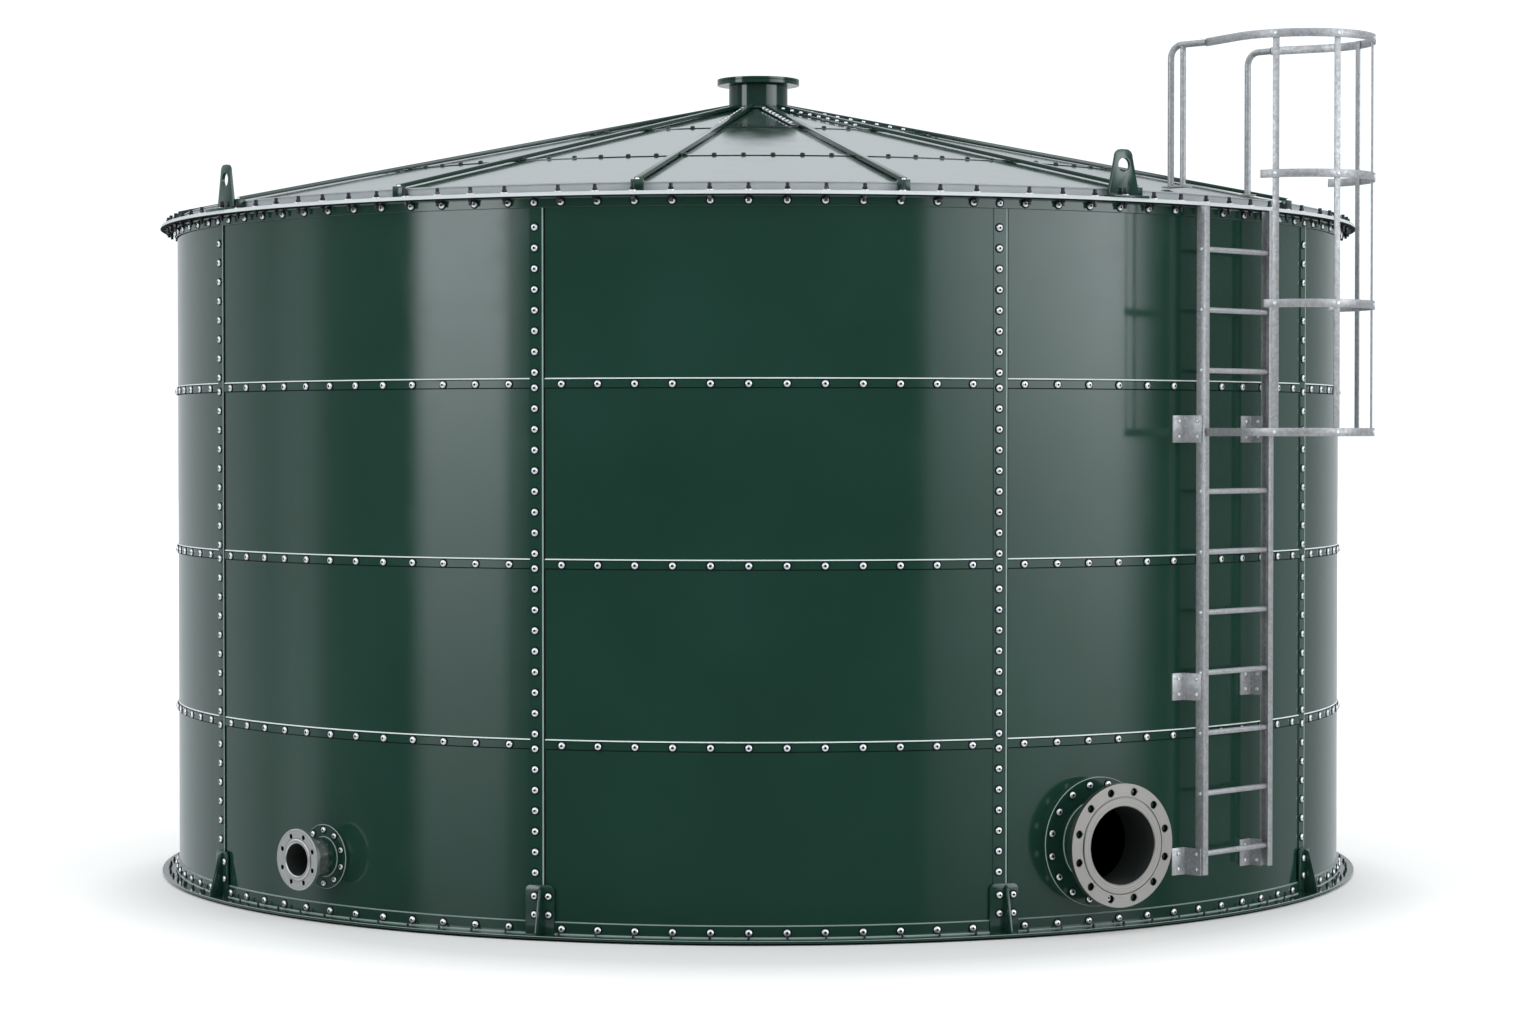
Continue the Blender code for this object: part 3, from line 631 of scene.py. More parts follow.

# %% [markdown]
# A bead lies along every lap edge, and its pale paint is a painted highlight: it stands for the light
# that the sloping face catches from above, and draws the bright lines round the tank. A pale line on
# the flat plate would stay as dark as the room in front, because a flat face doesn't look up. A black
# line of painted shade goes with each bead: under the edge of a lap, and in the corner beside an
# upright seam.

# %% Beads with a painted highlight, and the painted shade beside them
beads, upright_beads, shades = [], [], []
for bay in range(BAYS):
    seam = FIRST_SEAM + BAY_ANGLE * (bay + 1)
    start = seam - BAY_ANGLE + width_angle(SEAM_AFTER + 0.0006)
    lap_end = seam - width_angle(SEAM_BEFORE)
    for row in LAP_ROWS:
        edge = row + LAP_ABOVE
        slope = [(SHELL, edge), (SHELL + LAP_RISE, edge), (SHELL + 0.0002, edge + 0.0055)]
        beads.append(arc_bar(slope, start, lap_end))
        face, under = SHELL + LAP_RISE, row - LAP_BELOW
        line = [(face, edge - 0.0045), (face + 0.0004, edge - 0.0045), (face + 0.0004, edge - 0.0005),
                (face, edge - 0.0005)]
        shades.append(arc_bar(line, start, lap_end))
        foot = [(SHELL, under - 0.005), (SHELL + 0.0005, under - 0.005), (SHELL + LAP_RISE, under)]
        shades.append(arc_bar(foot, start, lap_end))
    face = SHELL + PLATE
    upright = [(face, SEAM_AFTER - 0.0085), (face + 0.0015, SEAM_AFTER - 0.0065),
               (face + 0.0015, SEAM_AFTER - 0.003), (face, SEAM_AFTER - 0.001)]
    upright_beads.append(placed(flat_plate(upright, BASE_LEG_TOP, TOP_LEG_BOTTOM), station(seam)))
    corner = [(SHELL, SEAM_AFTER - 0.001), (face, SEAM_AFTER - 0.001), (face, SEAM_AFTER + 0.0004),
              (SHELL + 0.0005, SEAM_AFTER + 0.006), (SHELL, SEAM_AFTER + 0.006)]
    shades.append(placed(flat_plate(corner, BASE_LEG_TOP, TOP_LEG_BOTTOM), station(seam)))
# The pale paint of the lap beads is a painted highlight.
piece("highlight_beads", joined(beads), BEAD_HIGHLIGHT)
# The upright beads are painted pale as painted highlights.
piece("upright_beads", joined(upright_beads), DULL_HIGHLIGHT)
piece("shade_lines", joined(shades), SHADE)
print("beads", len(beads), len(upright_beads), "shade lines", len(shades))

# %% [markdown]
# ## Floor plate and rings
# The two rings are rolled angles, with one leg on the shell and the other pointing out. A turned
# profile with small chamfers gives the edge lines of the real bars, and the faces of both rings that
# look up are painted pale as painted highlights. The nine gussets stand on the base ring, over the
# feet of the seams.

# %% Rings
CHAMFER = 0.0015
inner = SHELL + 0.0004
base_profile = [
    (inner, WALL_BOTTOM), (RING_RADIUS - CHAMFER, WALL_BOTTOM),
    (RING_RADIUS, WALL_BOTTOM + CHAMFER), (RING_RADIUS, BASE_FLANGE_TOP - 0.0025),
    (RING_RADIUS - 0.0025, BASE_FLANGE_TOP), (LEG_FACE + 0.006, BASE_FLANGE_TOP),
    (LEG_FACE, BASE_FLANGE_TOP + 0.006), (LEG_FACE, BASE_LEG_TOP - CHAMFER),
    (LEG_FACE - CHAMFER, BASE_LEG_TOP), (inner, BASE_LEG_TOP),
]
RIM_SLOPE = 0.008  # how far the rim of the top ring leans in; its face takes a painted highlight
top_profile = [
    (inner, TOP_LEG_BOTTOM), (LEG_FACE - CHAMFER, TOP_LEG_BOTTOM),
    (LEG_FACE, TOP_LEG_BOTTOM + CHAMFER), (LEG_FACE, TOP_FLANGE_BOTTOM - 0.006),
    (LEG_FACE + 0.006, TOP_FLANGE_BOTTOM), (RING_RADIUS - CHAMFER, TOP_FLANGE_BOTTOM),
    (RING_RADIUS, TOP_FLANGE_BOTTOM + CHAMFER), (RING_RADIUS - RIM_SLOPE, TOP_FLANGE_TOP),
    (TOP_STEP, TOP_FLANGE_TOP), (TOP_STEP, LIP_TOP), (LIP_RADIUS, LIP_TOP),
    (LIP_RADIUS, WALL_TOP + 0.0004), (inner, WALL_TOP + 0.0004),
]
top_angle = piece("top_angle", turned_up(top_profile), GREEN, ["top_ring"])
# Painted highlight: the top ring's faces that look up, its rim among them, are painted pale.
paint_where(top_angle, RIM_HIGHLIGHT, lambda centre, normal: 0.3 < normal.z < 0.95)
# Painted shade: the faces under the top ring's flange are painted black.
paint_where(top_angle, SHADE, lambda centre, normal: normal.z < -0.9)
base_angle = piece("base_angle", turned_up(base_profile), GREEN, ["base_ring"])
# Painted highlight: the base ring's chamfers that look up are painted pale.
paint_where(base_angle, DULL_HIGHLIGHT, lambda centre, normal: 0.3 < normal.z < 0.95)
# The bead on the ledge of the base ring is painted pale as a painted highlight.
ledge = [(SHELL, BASE_LEG_TOP), (LEG_FACE - 0.006, BASE_LEG_TOP), (SHELL, BASE_LEG_TOP + 0.003)]
piece("ledge_bead", turned_up(ledge), DULL_HIGHLIGHT)
# Painted shadow: the floor plate under the base flange is painted matt black.
floor_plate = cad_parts["bottom_plate"]
floor_plate.data.materials.clear()
floor_plate.data.materials.append(SHADE)
print("ring sections", len(base_profile), len(top_profile))

# %% Gussets
FOOT_HALF = 0.075
FOOT_OFFSET = 0.026
FOOT_TOP = 0.260
FOOT_CORNER = 0.030
PLATE_BACK = SHELL + PLATE + 0.0008
PLATE_FRONT = PLATE_BACK + RING_THICKNESS
GUSSET_SIDE = (0.028, 0.040)


def gusset_shape():
    corner = [math.radians(90 * i / 6) for i in range(7)]
    middle = (FOOT_HALF - FOOT_CORNER, FOOT_TOP - FOOT_CORNER)
    curve = [
        (middle[0] + FOOT_CORNER * math.cos(t), middle[1] + FOOT_CORNER * math.sin(t))
        for t in corner
    ]
    foot = BASE_FLANGE_TOP - 0.004
    plate = [(-FOOT_HALF, foot), (FOOT_HALF, foot), *curve, *[(-y, z) for y, z in curve[::-1]]]
    plate = [(FOOT_OFFSET + y, z) for y, z in plate]
    rib = [
        (PLATE_FRONT - 0.004, foot), (SHELL + 0.086, foot), (SHELL + 0.086, BASE_FLANGE_TOP + 0.016),
        (PLATE_FRONT + 0.022, FOOT_TOP - 0.020), (PLATE_FRONT - 0.004, FOOT_TOP - 0.006),
    ]
    return joined([face_plate(plate, PLATE_BACK, PLATE_FRONT), side_plate(rib, *GUSSET_SIDE)])


gussets = joined(
    placed(gusset_shape(), station(FIRST_SEAM + BAY_ANGLE * seam)) for seam in range(BAYS)
)
piece("gussets", gussets, GREEN, bevel=0.0012)
print("gussets", BAYS)

# %% [markdown]
# ## The roof
# An upright strip carries the edge of the cone, which stands a little above the top ring. Three
# rings of sheet make the cone, and each upper one laps over the one below. From low down the
# sheets are seen at a grazing angle, so the same dark gloss as the wall mirrors the bright room
# above, and it mirrors the neck as a dark patch below the neck. The finish therefore stays the
# wall's, and the light does the rest.

# %% Eave strip and roof sheets
strip = [
    (EAVE_RADIUS - 0.006, LIP_TOP + 0.0004), (EAVE_RADIUS, LIP_TOP + 0.0004),
    (EAVE_RADIUS, EAVE + 0.0006), (EAVE_RADIUS - 0.006, EAVE + 0.0006),
]
piece("strip", turned_up(strip), STRIP, ["eave_strip"])
edges = [ROOF_EDGE, *ROOF_LAPS, NECK_RADIUS + 0.0004]
for number, name in enumerate(("outer", "middle", "inner")):
    outer, inner = edges[number], edges[number + 1]
    profile = [(inner, roof_top(inner) - PLATE), (outer, roof_top(outer) - PLATE)]
    if number:
        lap, back = outer + ROOF_LAP_HALF, outer - ROOF_LAP_HALF
        profile += [
            (outer, roof_top(outer) + 0.0004),
            (lap, roof_top(lap) + 0.0004),
            (lap, roof_top(lap) + 0.0004 + ROOF_LAP_RISE),
            (back, roof_top(back) + 0.0004 + ROOF_LAP_RISE),
            (back - 0.006, roof_top(back - 0.006)),
        ]
    else:
        profile.append((outer, roof_top(outer)))
    profile.append((inner, roof_top(inner)))
    sheets = piece(f"{name}_sheets", turned_up(profile), GREEN,
                   [f"roof_{name}_ring"])
    if name == "outer":
        paint_where(sheets, STRIP, lambda centre, normal: centre.z < EAVE + 0.005)
print("roof top", round(roof_top(NECK_RADIUS), 4))

# %% [markdown]
# Sixteen ribs run from a ring at the neck over the eave to blocks on the top ring. Near the crown
# a narrow strip carries a close row of bolts beside each rib.

# %% Ribs
def along_roof(start, end, low, high):
    """Side outline of a bar that follows the slope."""
    return [
        (start, roof_top(start) + low), (end, roof_top(end) + low),
        (end, roof_top(end) + high), (start, roof_top(start) + high),
    ]


def rib_shape():
    bar = side_plate(along_roof(0.200, RIB_END, 0.0055, 0.0255), -0.015, 0.015)
    side_strip = side_plate(along_roof(0.222, 1.050, 0.0045, 0.0085), -0.046, -0.013)
    foot = block((3.231, 3.262), (-0.030, 0.030), (TOP_FLANGE_TOP + 0.001, RIB_FOOT_TOP))
    return joined([bar, side_strip, foot])


hub = [
    (0.1672, roof_top(0.1672) + 0.001), (0.225, roof_top(0.225) + 0.001),
    (0.225, roof_top(0.225) + 0.014), (0.1672, roof_top(0.1672) + 0.014),
]
rib_angles = [FIRST_RIB + 360 / RIBS * number for number in range(RIBS)]
ribs = joined([placed(rib_shape(), station(angle)) for angle in rib_angles])
ribs = joined([ribs, turned_up(hub, 96)])
piece("ribs", ribs, GREEN, ["roof_ribs"], bevel=0.0015)
print("ribs", len(rib_angles))

# %% [markdown]
# The neck is a short tube with a flange and a slightly domed cover. Its curve mirrors the two
# upright lights of the room as two stripes.

# %% Neck and cover
neck_wall = NECK_RADIUS - 0.008
foot = roof_top(NECK_RADIUS) - 0.026
under = NECK_TOP - NECK_FLANGE_DEPTH
neck = [
    (neck_wall, foot), (NECK_RADIUS, foot), (NECK_RADIUS, under - 0.004),
    (NECK_RADIUS + 0.004, under), (NECK_FLANGE - CHAMFER, under), (NECK_FLANGE, under + CHAMFER),
    (NECK_FLANGE, NECK_TOP - CHAMFER), (NECK_FLANGE - CHAMFER, NECK_TOP), (neck_wall, NECK_TOP),
]
piece("neck", turned_up(neck, 128), GREEN, ["roof_neck"])
cover = [(0.0004, NECK_FLANGE - CHAMFER), (0.0004 + CHAMFER, NECK_FLANGE)]
cover += [(0.0130, NECK_FLANGE), (0.0144, NECK_FLANGE - CHAMFER)]
cover += [(0.0144 + 0.0066 * math.sin(t), NECK_FLANGE * 0.98 * math.cos(t)) for t in
          [math.radians(90 * i / 10) for i in range(1, 10)]]
piece("cover", placed(turned_out(cover, 96), shift(0, 0, NECK_TOP) @ UPWARDS), GREEN,
      ["neck_cover"])
print("neck flange radius", NECK_FLANGE)

# %% [markdown]
# ## Lifting lugs
# A rounded plate stands along the top ring on a bolted foot plate, with a hole for a shackle. A
# boolean cuts the hole, because it goes through one flat plate. The foot plates are a piece of
# their own: a boolean on two solids that overlap in one mesh takes away the wrong part.

# %% Lugs
lug_base = TOP_FLANGE_TOP + 0.0004
corner = [math.radians(90 * i / 10) for i in range(11)]
cap = [(0.016 + 0.038 * math.cos(t), LUG_TOP - 0.038 + 0.038 * math.sin(t)) for t in corner]
half = [(0.093, lug_base + 0.004), (0.093, lug_base + 0.030), *cap]
lug = face_plate(half + [(-y, z) for y, z in reversed(half)], *LUG_FACES)
lug_foot = block((LUG_FACES[0] - 0.001, 3.340), (-0.110, 0.110), (lug_base, lug_base + 0.012))
eye = turned_out([(LUG_FACES[0] - 0.01, 0.036), (LUG_FACES[1] + 0.01, 0.036)], 48)
for number, angle in enumerate(LUG_ANGLES):
    hole = placed(eye, station(angle, LUG_EYE))
    piece(f"lug_{number + 1}", placed(lug, station(angle)), GREEN,
          [f"lifting_lug_{number + 1}"], bevel=0.0015, holes=hole)
lug_feet = joined([placed(lug_foot, station(angle)) for angle in LUG_ANGLES])
piece("lug_feet", lug_feet, GREEN, bevel=0.0015)
print("lugs", len(LUG_ANGLES))

# %% [markdown]
# ## Nozzles
# A pad is bolted to the wall and a pipe goes through it. A stainless stub end carries the raised
# face, and a loose drilled flange sits behind its lip. Each is round about the nozzle's own axis,
# so a turned profile is truer than the CAD's 32 sides. The bolt holes are cut with one boolean.

# %% Nozzle pieces
def ring_of(count, radius, along, offset=0.5):
    """Places on a circle about the local X axis."""
    turns = [2 * math.pi * (i + offset) / count for i in range(count)]
    return [shift(along, radius * math.sin(t), radius * math.cos(t)) for t in turns]


def is_inside(point, origin, axis, radius):
    """Whether a point lies on or within a bore of this radius."""
    away = point - origin
    return (away - axis * away.dot(axis)).length < radius + 0.0005


for nozzle in (LARGE, SMALL):
    place = nozzle_place(nozzle)
    steel = stainless_material(nozzle)
    name, bore = nozzle["name"], nozzle["bore"]
    back = nozzle["face"] - 0.004 - nozzle["thickness"]
    front = nozzle["face"] - 0.004
    stub_start = back - nozzle["stub_length"]
    sunk = SHELL - nozzle["pad"] ** 2 / SHELL / 2 - 0.004
    collar = nozzle["pipe"] + 0.0004
    pad = [
        (sunk, collar), (sunk, nozzle["pad"]), (PAD_FACE - 0.003, nozzle["pad"]),
        (PAD_FACE, nozzle["pad"] - 0.003), (PAD_FACE, collar + 0.004), (PAD_FACE + 0.004, collar),
    ]
    pipe = [
        (PIPE_START, bore), (PIPE_START, nozzle["pipe"]), (stub_start - 0.0004, nozzle["pipe"]),
        (stub_start - 0.0004, bore),
    ]
    stub = [
        (stub_start, bore), (stub_start, nozzle["stub"]), (front + 0.0004, nozzle["stub"]),
        (front + 0.0004, nozzle["raised"]), (nozzle["face"] - 0.003, nozzle["raised"]),
        (nozzle["face"], nozzle["raised"] - 0.004), (nozzle["face"], bore + 0.004),
        (nozzle["face"] - 0.004, bore),
    ]
    fit = nozzle["stub"] + 0.0004
    flange = [
        (back, fit), (back, nozzle["flange"] - CHAMFER), (back + CHAMFER, nozzle["flange"]),
        (front - CHAMFER, nozzle["flange"]), (front, nozzle["flange"] - CHAMFER),
        (front, nozzle["raised"] + 0.004), (front - 0.003, nozzle["raised"] + 0.002),
        (front - 0.003, nozzle["raised"] - 0.004), (front, nozzle["raised"] - 0.006), (front, fit),
    ]
    axis, centre_line = place.to_3x3() @ Vector((1, 0, 0)), place.to_translation()
    pad_obj = piece(f"{name}_pad", placed(turned_out(pad, 96, True), place), GREEN,
                    [f"{name}_nozzle_pad"])
    # Painted highlight: the pad's chamfer that faces out along the nozzle is painted pale.
    paint_where(pad_obj, DULL_HIGHLIGHT, lambda centre, normal: 0.3 < normal.dot(axis) < 0.95)
    pipe_obj = piece(f"{name}_pipe", placed(turned_out(pipe, 96, True), place), GREEN,
                     [f"{name}_nozzle_pipe"])
    stub_obj = piece(f"{name}_stub", placed(turned_out(stub, 128, True), place), steel,
                     [f"{name}_nozzle_stub"])
    # Painted shade: the inside of each bore is painted dark.
    for tube_end in (pipe_obj, stub_obj):
        paint_where(tube_end, BORE_SHADE, lambda centre, normal: is_inside(centre, centre_line, axis, bore))
    hole, step = 1.1 * nozzle["hole"], nozzle["thickness"] + 0.012
    stepped = [(0.0, hole), (step, hole), (step + 0.004, 1.2 * hole), (step + 0.02, 1.2 * hole)]
    drill = turned_out(stepped, 24)
    spots = ring_of(nozzle["holes"], nozzle["hole_circle"], back - 0.015)
    drills = placed(joined([placed(drill, spot) for spot in spots]), place)
    flange_obj = piece(f"{name}_flange", placed(turned_out(flange, 128, True), place), steel,
                       [f"{name}_nozzle_flange"], holes=drills)
    drilled = [(place @ spot).to_translation() for spot in spots]
    # Painted shade: the walls of the bolt holes are painted black.
    paint_where(flange_obj, SHADE, lambda centre, normal: abs(normal.dot(axis)) < 0.3 and any(
        is_inside(centre, spot, axis, hole) for spot in drilled))
    print(name, "holes", nozzle["holes"])

# %% [markdown]
# ## Ladder
# The stringers are folded channels that open towards the rungs, which are round bars. A channel
# has a thin web and two flanges, so its edges read as sheet, not as a solid bar.

# %% Stringers and rungs
def channel_shape(sign):
    """Channel whose web is on the outer side of the ladder."""
    web = sign * (STRINGER_OFFSET + STRINGER_WIDTH / 2)
    lips = sign * (STRINGER_OFFSET - STRINGER_WIDTH / 2)
    inside = web - sign * 0.004
    back, front = LADDER_FRONT - STRINGER_DEPTH, LADDER_FRONT
    outline = [
        (back, web), (front, web), (front, lips), (front - 0.004, lips),
        (front - 0.004, inside), (back + 0.004, inside), (back + 0.004, lips), (back, lips),
    ]
    return flat_plate(outline, STRINGER_FOOT, STRINGER_HEAD)


rung = turned_out([(-0.286, 0.014), (0.286, 0.014)], 24)
shapes = [channel_shape(-1), channel_shape(1)]
shapes += [placed(rung, shift(RUNG_LINE, 0, height) @ SIDEWAYS) for height in RUNG_HEIGHTS]
ladder_place = station(LADDER_ANGLE)
piece("ladder_steel", placed(joined(shapes), ladder_place), GALVANISED,
      ["ladder"], bevel=0.0008)
print("rungs", len(RUNG_HEIGHTS))


# %% Brackets
def bracket_parts(side):
    """Plan outline of the bent plate, with where its arm stands and how far it reaches."""
    sign = -1 if side == "near" else 1
    arm = sign * STRINGER_OFFSET - STRINGER_WIDTH / 2 - 0.0004
    end = LADDER_FRONT - 0.012 if side == "near" else RUNG_LINE - 0.016
    tip = arm - 0.090
    arm_root = math.sqrt(SHELL ** 2 - arm ** 2) + 0.001
    tip_root = math.sqrt(SHELL ** 2 - tip ** 2) + 0.001
    plan = [
        (tip_root, tip), (arm_root, arm), (end, arm), (end, arm - 0.008),
        (arm_root + 0.012, arm - 0.008), (arm_root + 0.009, arm - 0.011), (tip_root + 0.008, tip),
    ]
    return plan, arm, end, (arm_root + tip_root) / 2 + 0.008


for level, height in BRACKETS.items():
    for side in ("near", "far"):
        plan = bracket_parts(side)[0]
        shape = flat_plate(plan, height - 0.0675, height + 0.0675)
        piece(f"bracket_{level}_{side}", placed(shape, ladder_place), GALVANISED,
              [f"ladder_bracket_{level}_{side}"], bevel=0.001)
print("brackets", 2 * len(BRACKETS))

# %% [markdown]
# The cage is four hoops of flat bar with four upright bars inside. The hoops step by three
# degrees here, so they look bent and not cornered.

# %% Cage and hand rails
def flat_bar(route, thickness):
    """Plan outline of a flat bar whose outer face follows the route."""
    route = [Vector(point) for point in route]
    inside = []
    for i, here in enumerate(route):
        normals = []
        for a, b in ((i - 1, i), (i, i + 1)):
            if 0 <= a and b < len(route):
                along = (route[b] - route[a]).normalized()
                normals.append(Vector((-along.y, along.x)))
        middle = sum(normals, Vector((0, 0))).normalized()
        inside.append(here + middle * thickness / middle.dot(normals[0]))
    return [tuple(p) for p in route + inside[::-1]]


def cage_arc(start, end):
    count = round((end - start) / 3)
    turns = [math.radians(start + (end - start) * i / count) for i in range(count + 1)]
    return [(CAGE_CENTRE + CAGE_RADIUS * math.cos(t), CAGE_RADIUS * math.sin(t)) for t in turns]


full = cage_arc(-110, 110)
tab = [(LADDER_FRONT + 0.0064, -0.256), (LADDER_FRONT + 0.0064, -0.284)]
lowest = tab + full + [(x, -y) for x, y in reversed(tab)]
highest = [(3.3504, -0.273), *full, (3.3504, 0.273)]
routes = (lowest, cage_arc(-81, 102), cage_arc(-84, 102), highest)
for number, (route, height) in enumerate(zip(routes, HOOP_HEIGHTS)):
    shape = flat_plate(flat_bar(route, 0.006), height - 0.020, height + 0.020)
    piece(f"hoop_{number + 1}", placed(shape, ladder_place), GALVANISED,
          [f"cage_hoop_{number + 1}"], bevel=0.0008)
bar_face = (CAGE_RADIUS - 0.006) * math.cos(math.radians(5)) - 0.0008
cage_centre = ladder_place @ shift(CAGE_CENTRE, 0, 0)
for number, turn in enumerate(BAR_TURNS):
    shape = block((bar_face - 0.006, bar_face), (-0.016, 0.016), (2.414, 4.380))
    spin = Matrix.Rotation(math.radians(turn), 4, "Z")
    piece(f"bar_{number + 1}", placed(shape, cage_centre @ spin), GALVANISED,
          [f"cage_bar_{number + 1}"], bevel=0.0008)
for side, sign, post in (("near", -1, 3.133), ("far", 1, 3.208)):
    foot = roof_top(post - 0.032) + 0.001
    quarter = [math.radians(90 * i / 12) for i in range(13)]
    bend = [(post + 0.065 * (1 - math.cos(t)), 4.295 + 0.065 * math.sin(t)) for t in quarter]
    shapes = [tube([(post, foot + 0.002), *bend, (3.350, 4.360)], 0.016)]
    shapes.append(block((post - 0.032, 3.240), (-0.032, 0.032), (foot, foot + 0.008)))
    if side == "near":
        shapes.append(tube([(3.208, foot + 0.003), (3.208, 4.358)], 0.0144))
    place = ladder_place @ shift(0, sign * STRINGER_OFFSET, 0)
    piece(f"rail_{side}", placed(joined(shapes), place), GALVANISED,
          [f"hand_rail_{side}"])
print("hoops", len(routes), "bars", len(BAR_TURNS))

# %% [markdown]
# ## Fasteners
# Twelve domed bolts hold each bay in every row, and a closer column holds each seam. Nuts on
# studs stand on the top ring and the base ring. Each family is one shape repeated over a list of
# places, which are worked out from the seams.

# %% Fastener shapes and places
def dome_bolt(size=1.0):
    """Domed head with a shallow recess in its middle, on the local X axis."""
    profile = [
        (-0.001, 0.0165), (0.0060, 0.0165), (0.0088, 0.0152), (0.0108, 0.0125), (0.0120, 0.0085),
        (0.0122, 0.0062), (0.0095, 0.0050), (0.0090, 0.0010),
    ]
    return turned_out([(x * size, r * size) for x, r in profile], 20)


def shade_ring_and_dark_centre(size=1.0):
    """Painted shade round a head: a dark washer ring for its contact shadow, and a dark disc in its
    middle.
    """
    profile = [(-0.001, 0.0220), (0.0022, 0.0220), (0.0030, 0.0200), (0.0030, 0.0010)]
    socket = [(0.0090, 0.0062), (0.0126, 0.0062), (0.0126, 0.0010)]
    shapes = [turned_out([(x * size, r * size) for x, r in p], 20) for p in (profile, socket)]
    return joined(shapes)


def nut_and_stud(size=1.0):
    """Washer, six-sided nut and the end of a stud on the local X axis."""
    disc = turned_out([(-0.001, 0.0185), (0.004, 0.0185)], 16)
    nut = turned_out([(0.004, 0.0130), (0.0180, 0.0130), (0.0190, 0.0118)], 6)
    stud = turned_out([(0.0185, 0.0095), (0.0360, 0.0095), (0.0370, 0.0085)], 12)
    points, faces = joined([disc, nut, stud])
    return [(x * size, y * size, z * size) for x, y, z in points], faces


def repeated(shape, places):
    """The shape at every place, each turned by a chance angle about its own axis."""
    spins = [Matrix.Rotation(random.uniform(0, math.pi), 4, "X") for _ in places]
    return joined([placed(shape, place @ spin) for place, spin in zip(places, spins)])


row_angles = [
    FIRST_SEAM + BAY_ANGLE * bay + 2.4 + 3.2 * i for bay in range(BAYS) for i in range(12)
]
seam_angles = [FIRST_SEAM + BAY_ANGLE * bay for bay in range(BAYS)]


def wall_bolts(angles, height, radius):
    return [station(angle, height) @ shift(radius, 0, 0) for angle in angles]


# %% Wall rows and seams
bolt = dome_bolt()
row_places = []
for height in LAP_ROWS:
    row_places += wall_bolts(row_angles, height, SHELL + LAP_RISE)
leg_places = wall_bolts(row_angles, BASE_ROW - 0.013, LEG_FACE)
leg_places += wall_bolts(row_angles + seam_angles, TOP_ROW, LEG_FACE)
SEAM_PITCH = 0.0993
seam_heights = [
    row - 0.018 - SEAM_PITCH * i for row in (*LAP_ROWS, TOP_ROW) for i in range(9)
]
seam_heights = [z for z in seam_heights if FOOT_TOP + 0.020 < z < TOP_LEG_BOTTOM - 0.030]
seam_places = []
for height in seam_heights:
    seam_places += wall_bolts(seam_angles, height, SHELL + PLATE)
# Each dark washer ring is painted shade: the contact shadow round its head.
for name, places in (("row", row_places), ("leg", leg_places), ("seam", seam_places)):
    piece(f"{name}_bolts", repeated(bolt, places), ZINC)
    piece(f"{name}_washers", repeated(shade_ring_and_dark_centre(), places), SHADE)
print("row bolts", len(row_places), "leg", len(leg_places), "seam", len(seam_places))

# %% Studs on the rings, gusset and lug bolts
def on_lug(angle):
    return any(abs((angle - lug + 180) % 360 - 180) < 1.9 for lug in LUG_ANGLES)


stud_places = []
for angle in row_angles:
    height = TOP_FLANGE_TOP + (0.0124 if on_lug(angle) else 0.0)
    stud_places.append(station(angle) @ shift(FLANGE_MIDDLE, 0, height) @ UPWARDS)
piece("top_studs", repeated(nut_and_stud(), stud_places), BLACK)
plain_washer = turned_out([(-0.001, 0.0200), (0.0045, 0.0200), (0.0052, 0.0190)], 20)
piece("top_washers", repeated(plain_washer, stud_places), ZINC)
DOWNWARDS = Matrix.Rotation(math.radians(90), 4, "Y")  # turns the X axis to point down
# The black of the hanging nuts is painted shade under the flange.
hanging = [station(a) @ shift(FLANGE_MIDDLE, 0, TOP_FLANGE_BOTTOM) @ DOWNWARDS for a in row_angles]
piece("hanging_nuts", repeated(nut_and_stud(0.85), hanging), BLACK)
# The black of the base studs is painted shade on the flange.
base_places = [station(a) @ shift(FLANGE_MIDDLE, 0, BASE_FLANGE_TOP) @ UPWARDS for a in row_angles]
piece("base_studs", repeated(nut_and_stud(0.5), base_places), BLACK)
gusset_places = []
for angle in seam_angles:
    for across in (0.0, 0.072):
        for height in (0.117, 0.206):
            gusset_places.append(station(angle, height) @ shift(PLATE_FRONT, across, 0))
piece("gusset_bolts", repeated(bolt, gusset_places), ZINC)
# The dark washer rings of the gussets are painted shade round the heads.
piece("gusset_washer_shade", repeated(shade_ring_and_dark_centre(), gusset_places), SHADE)
print("studs", len(stud_places), len(base_places), "gusset bolts", len(gusset_places))

# %% Roof bolts
TILT = Matrix.Rotation(math.atan(ROOF_SLOPE), 4, "Y")


def on_roof(angle, radius, lift, across=0.0):
    return station(angle) @ shift(radius, across, roof_top(radius) + lift) @ TILT @ UPWARDS


roof_places = []
for radius, count in zip(ROOF_LAPS, (96, 48)):
    roof_places += [on_roof(360 / count * (i + 0.5), radius, ROOF_LAP_RISE) for i in range(count)]
piece("roof_bolts", repeated(dome_bolt(0.75), roof_places), BLACK)
rib_places = []
for angle in rib_angles:
    rib_places += [on_roof(angle, 0.290 + 0.085 * i, 0.0085, -0.031) for i in range(9)]
    rib_places.append(station(angle) @ shift(3.2465, 0, RIB_FOOT_TOP) @ UPWARDS)
piece("rib_bolts", repeated(dome_bolt(0.7), rib_places), ZINC)
print("roof bolts", len(roof_places), "rib bolts", len(rib_places))

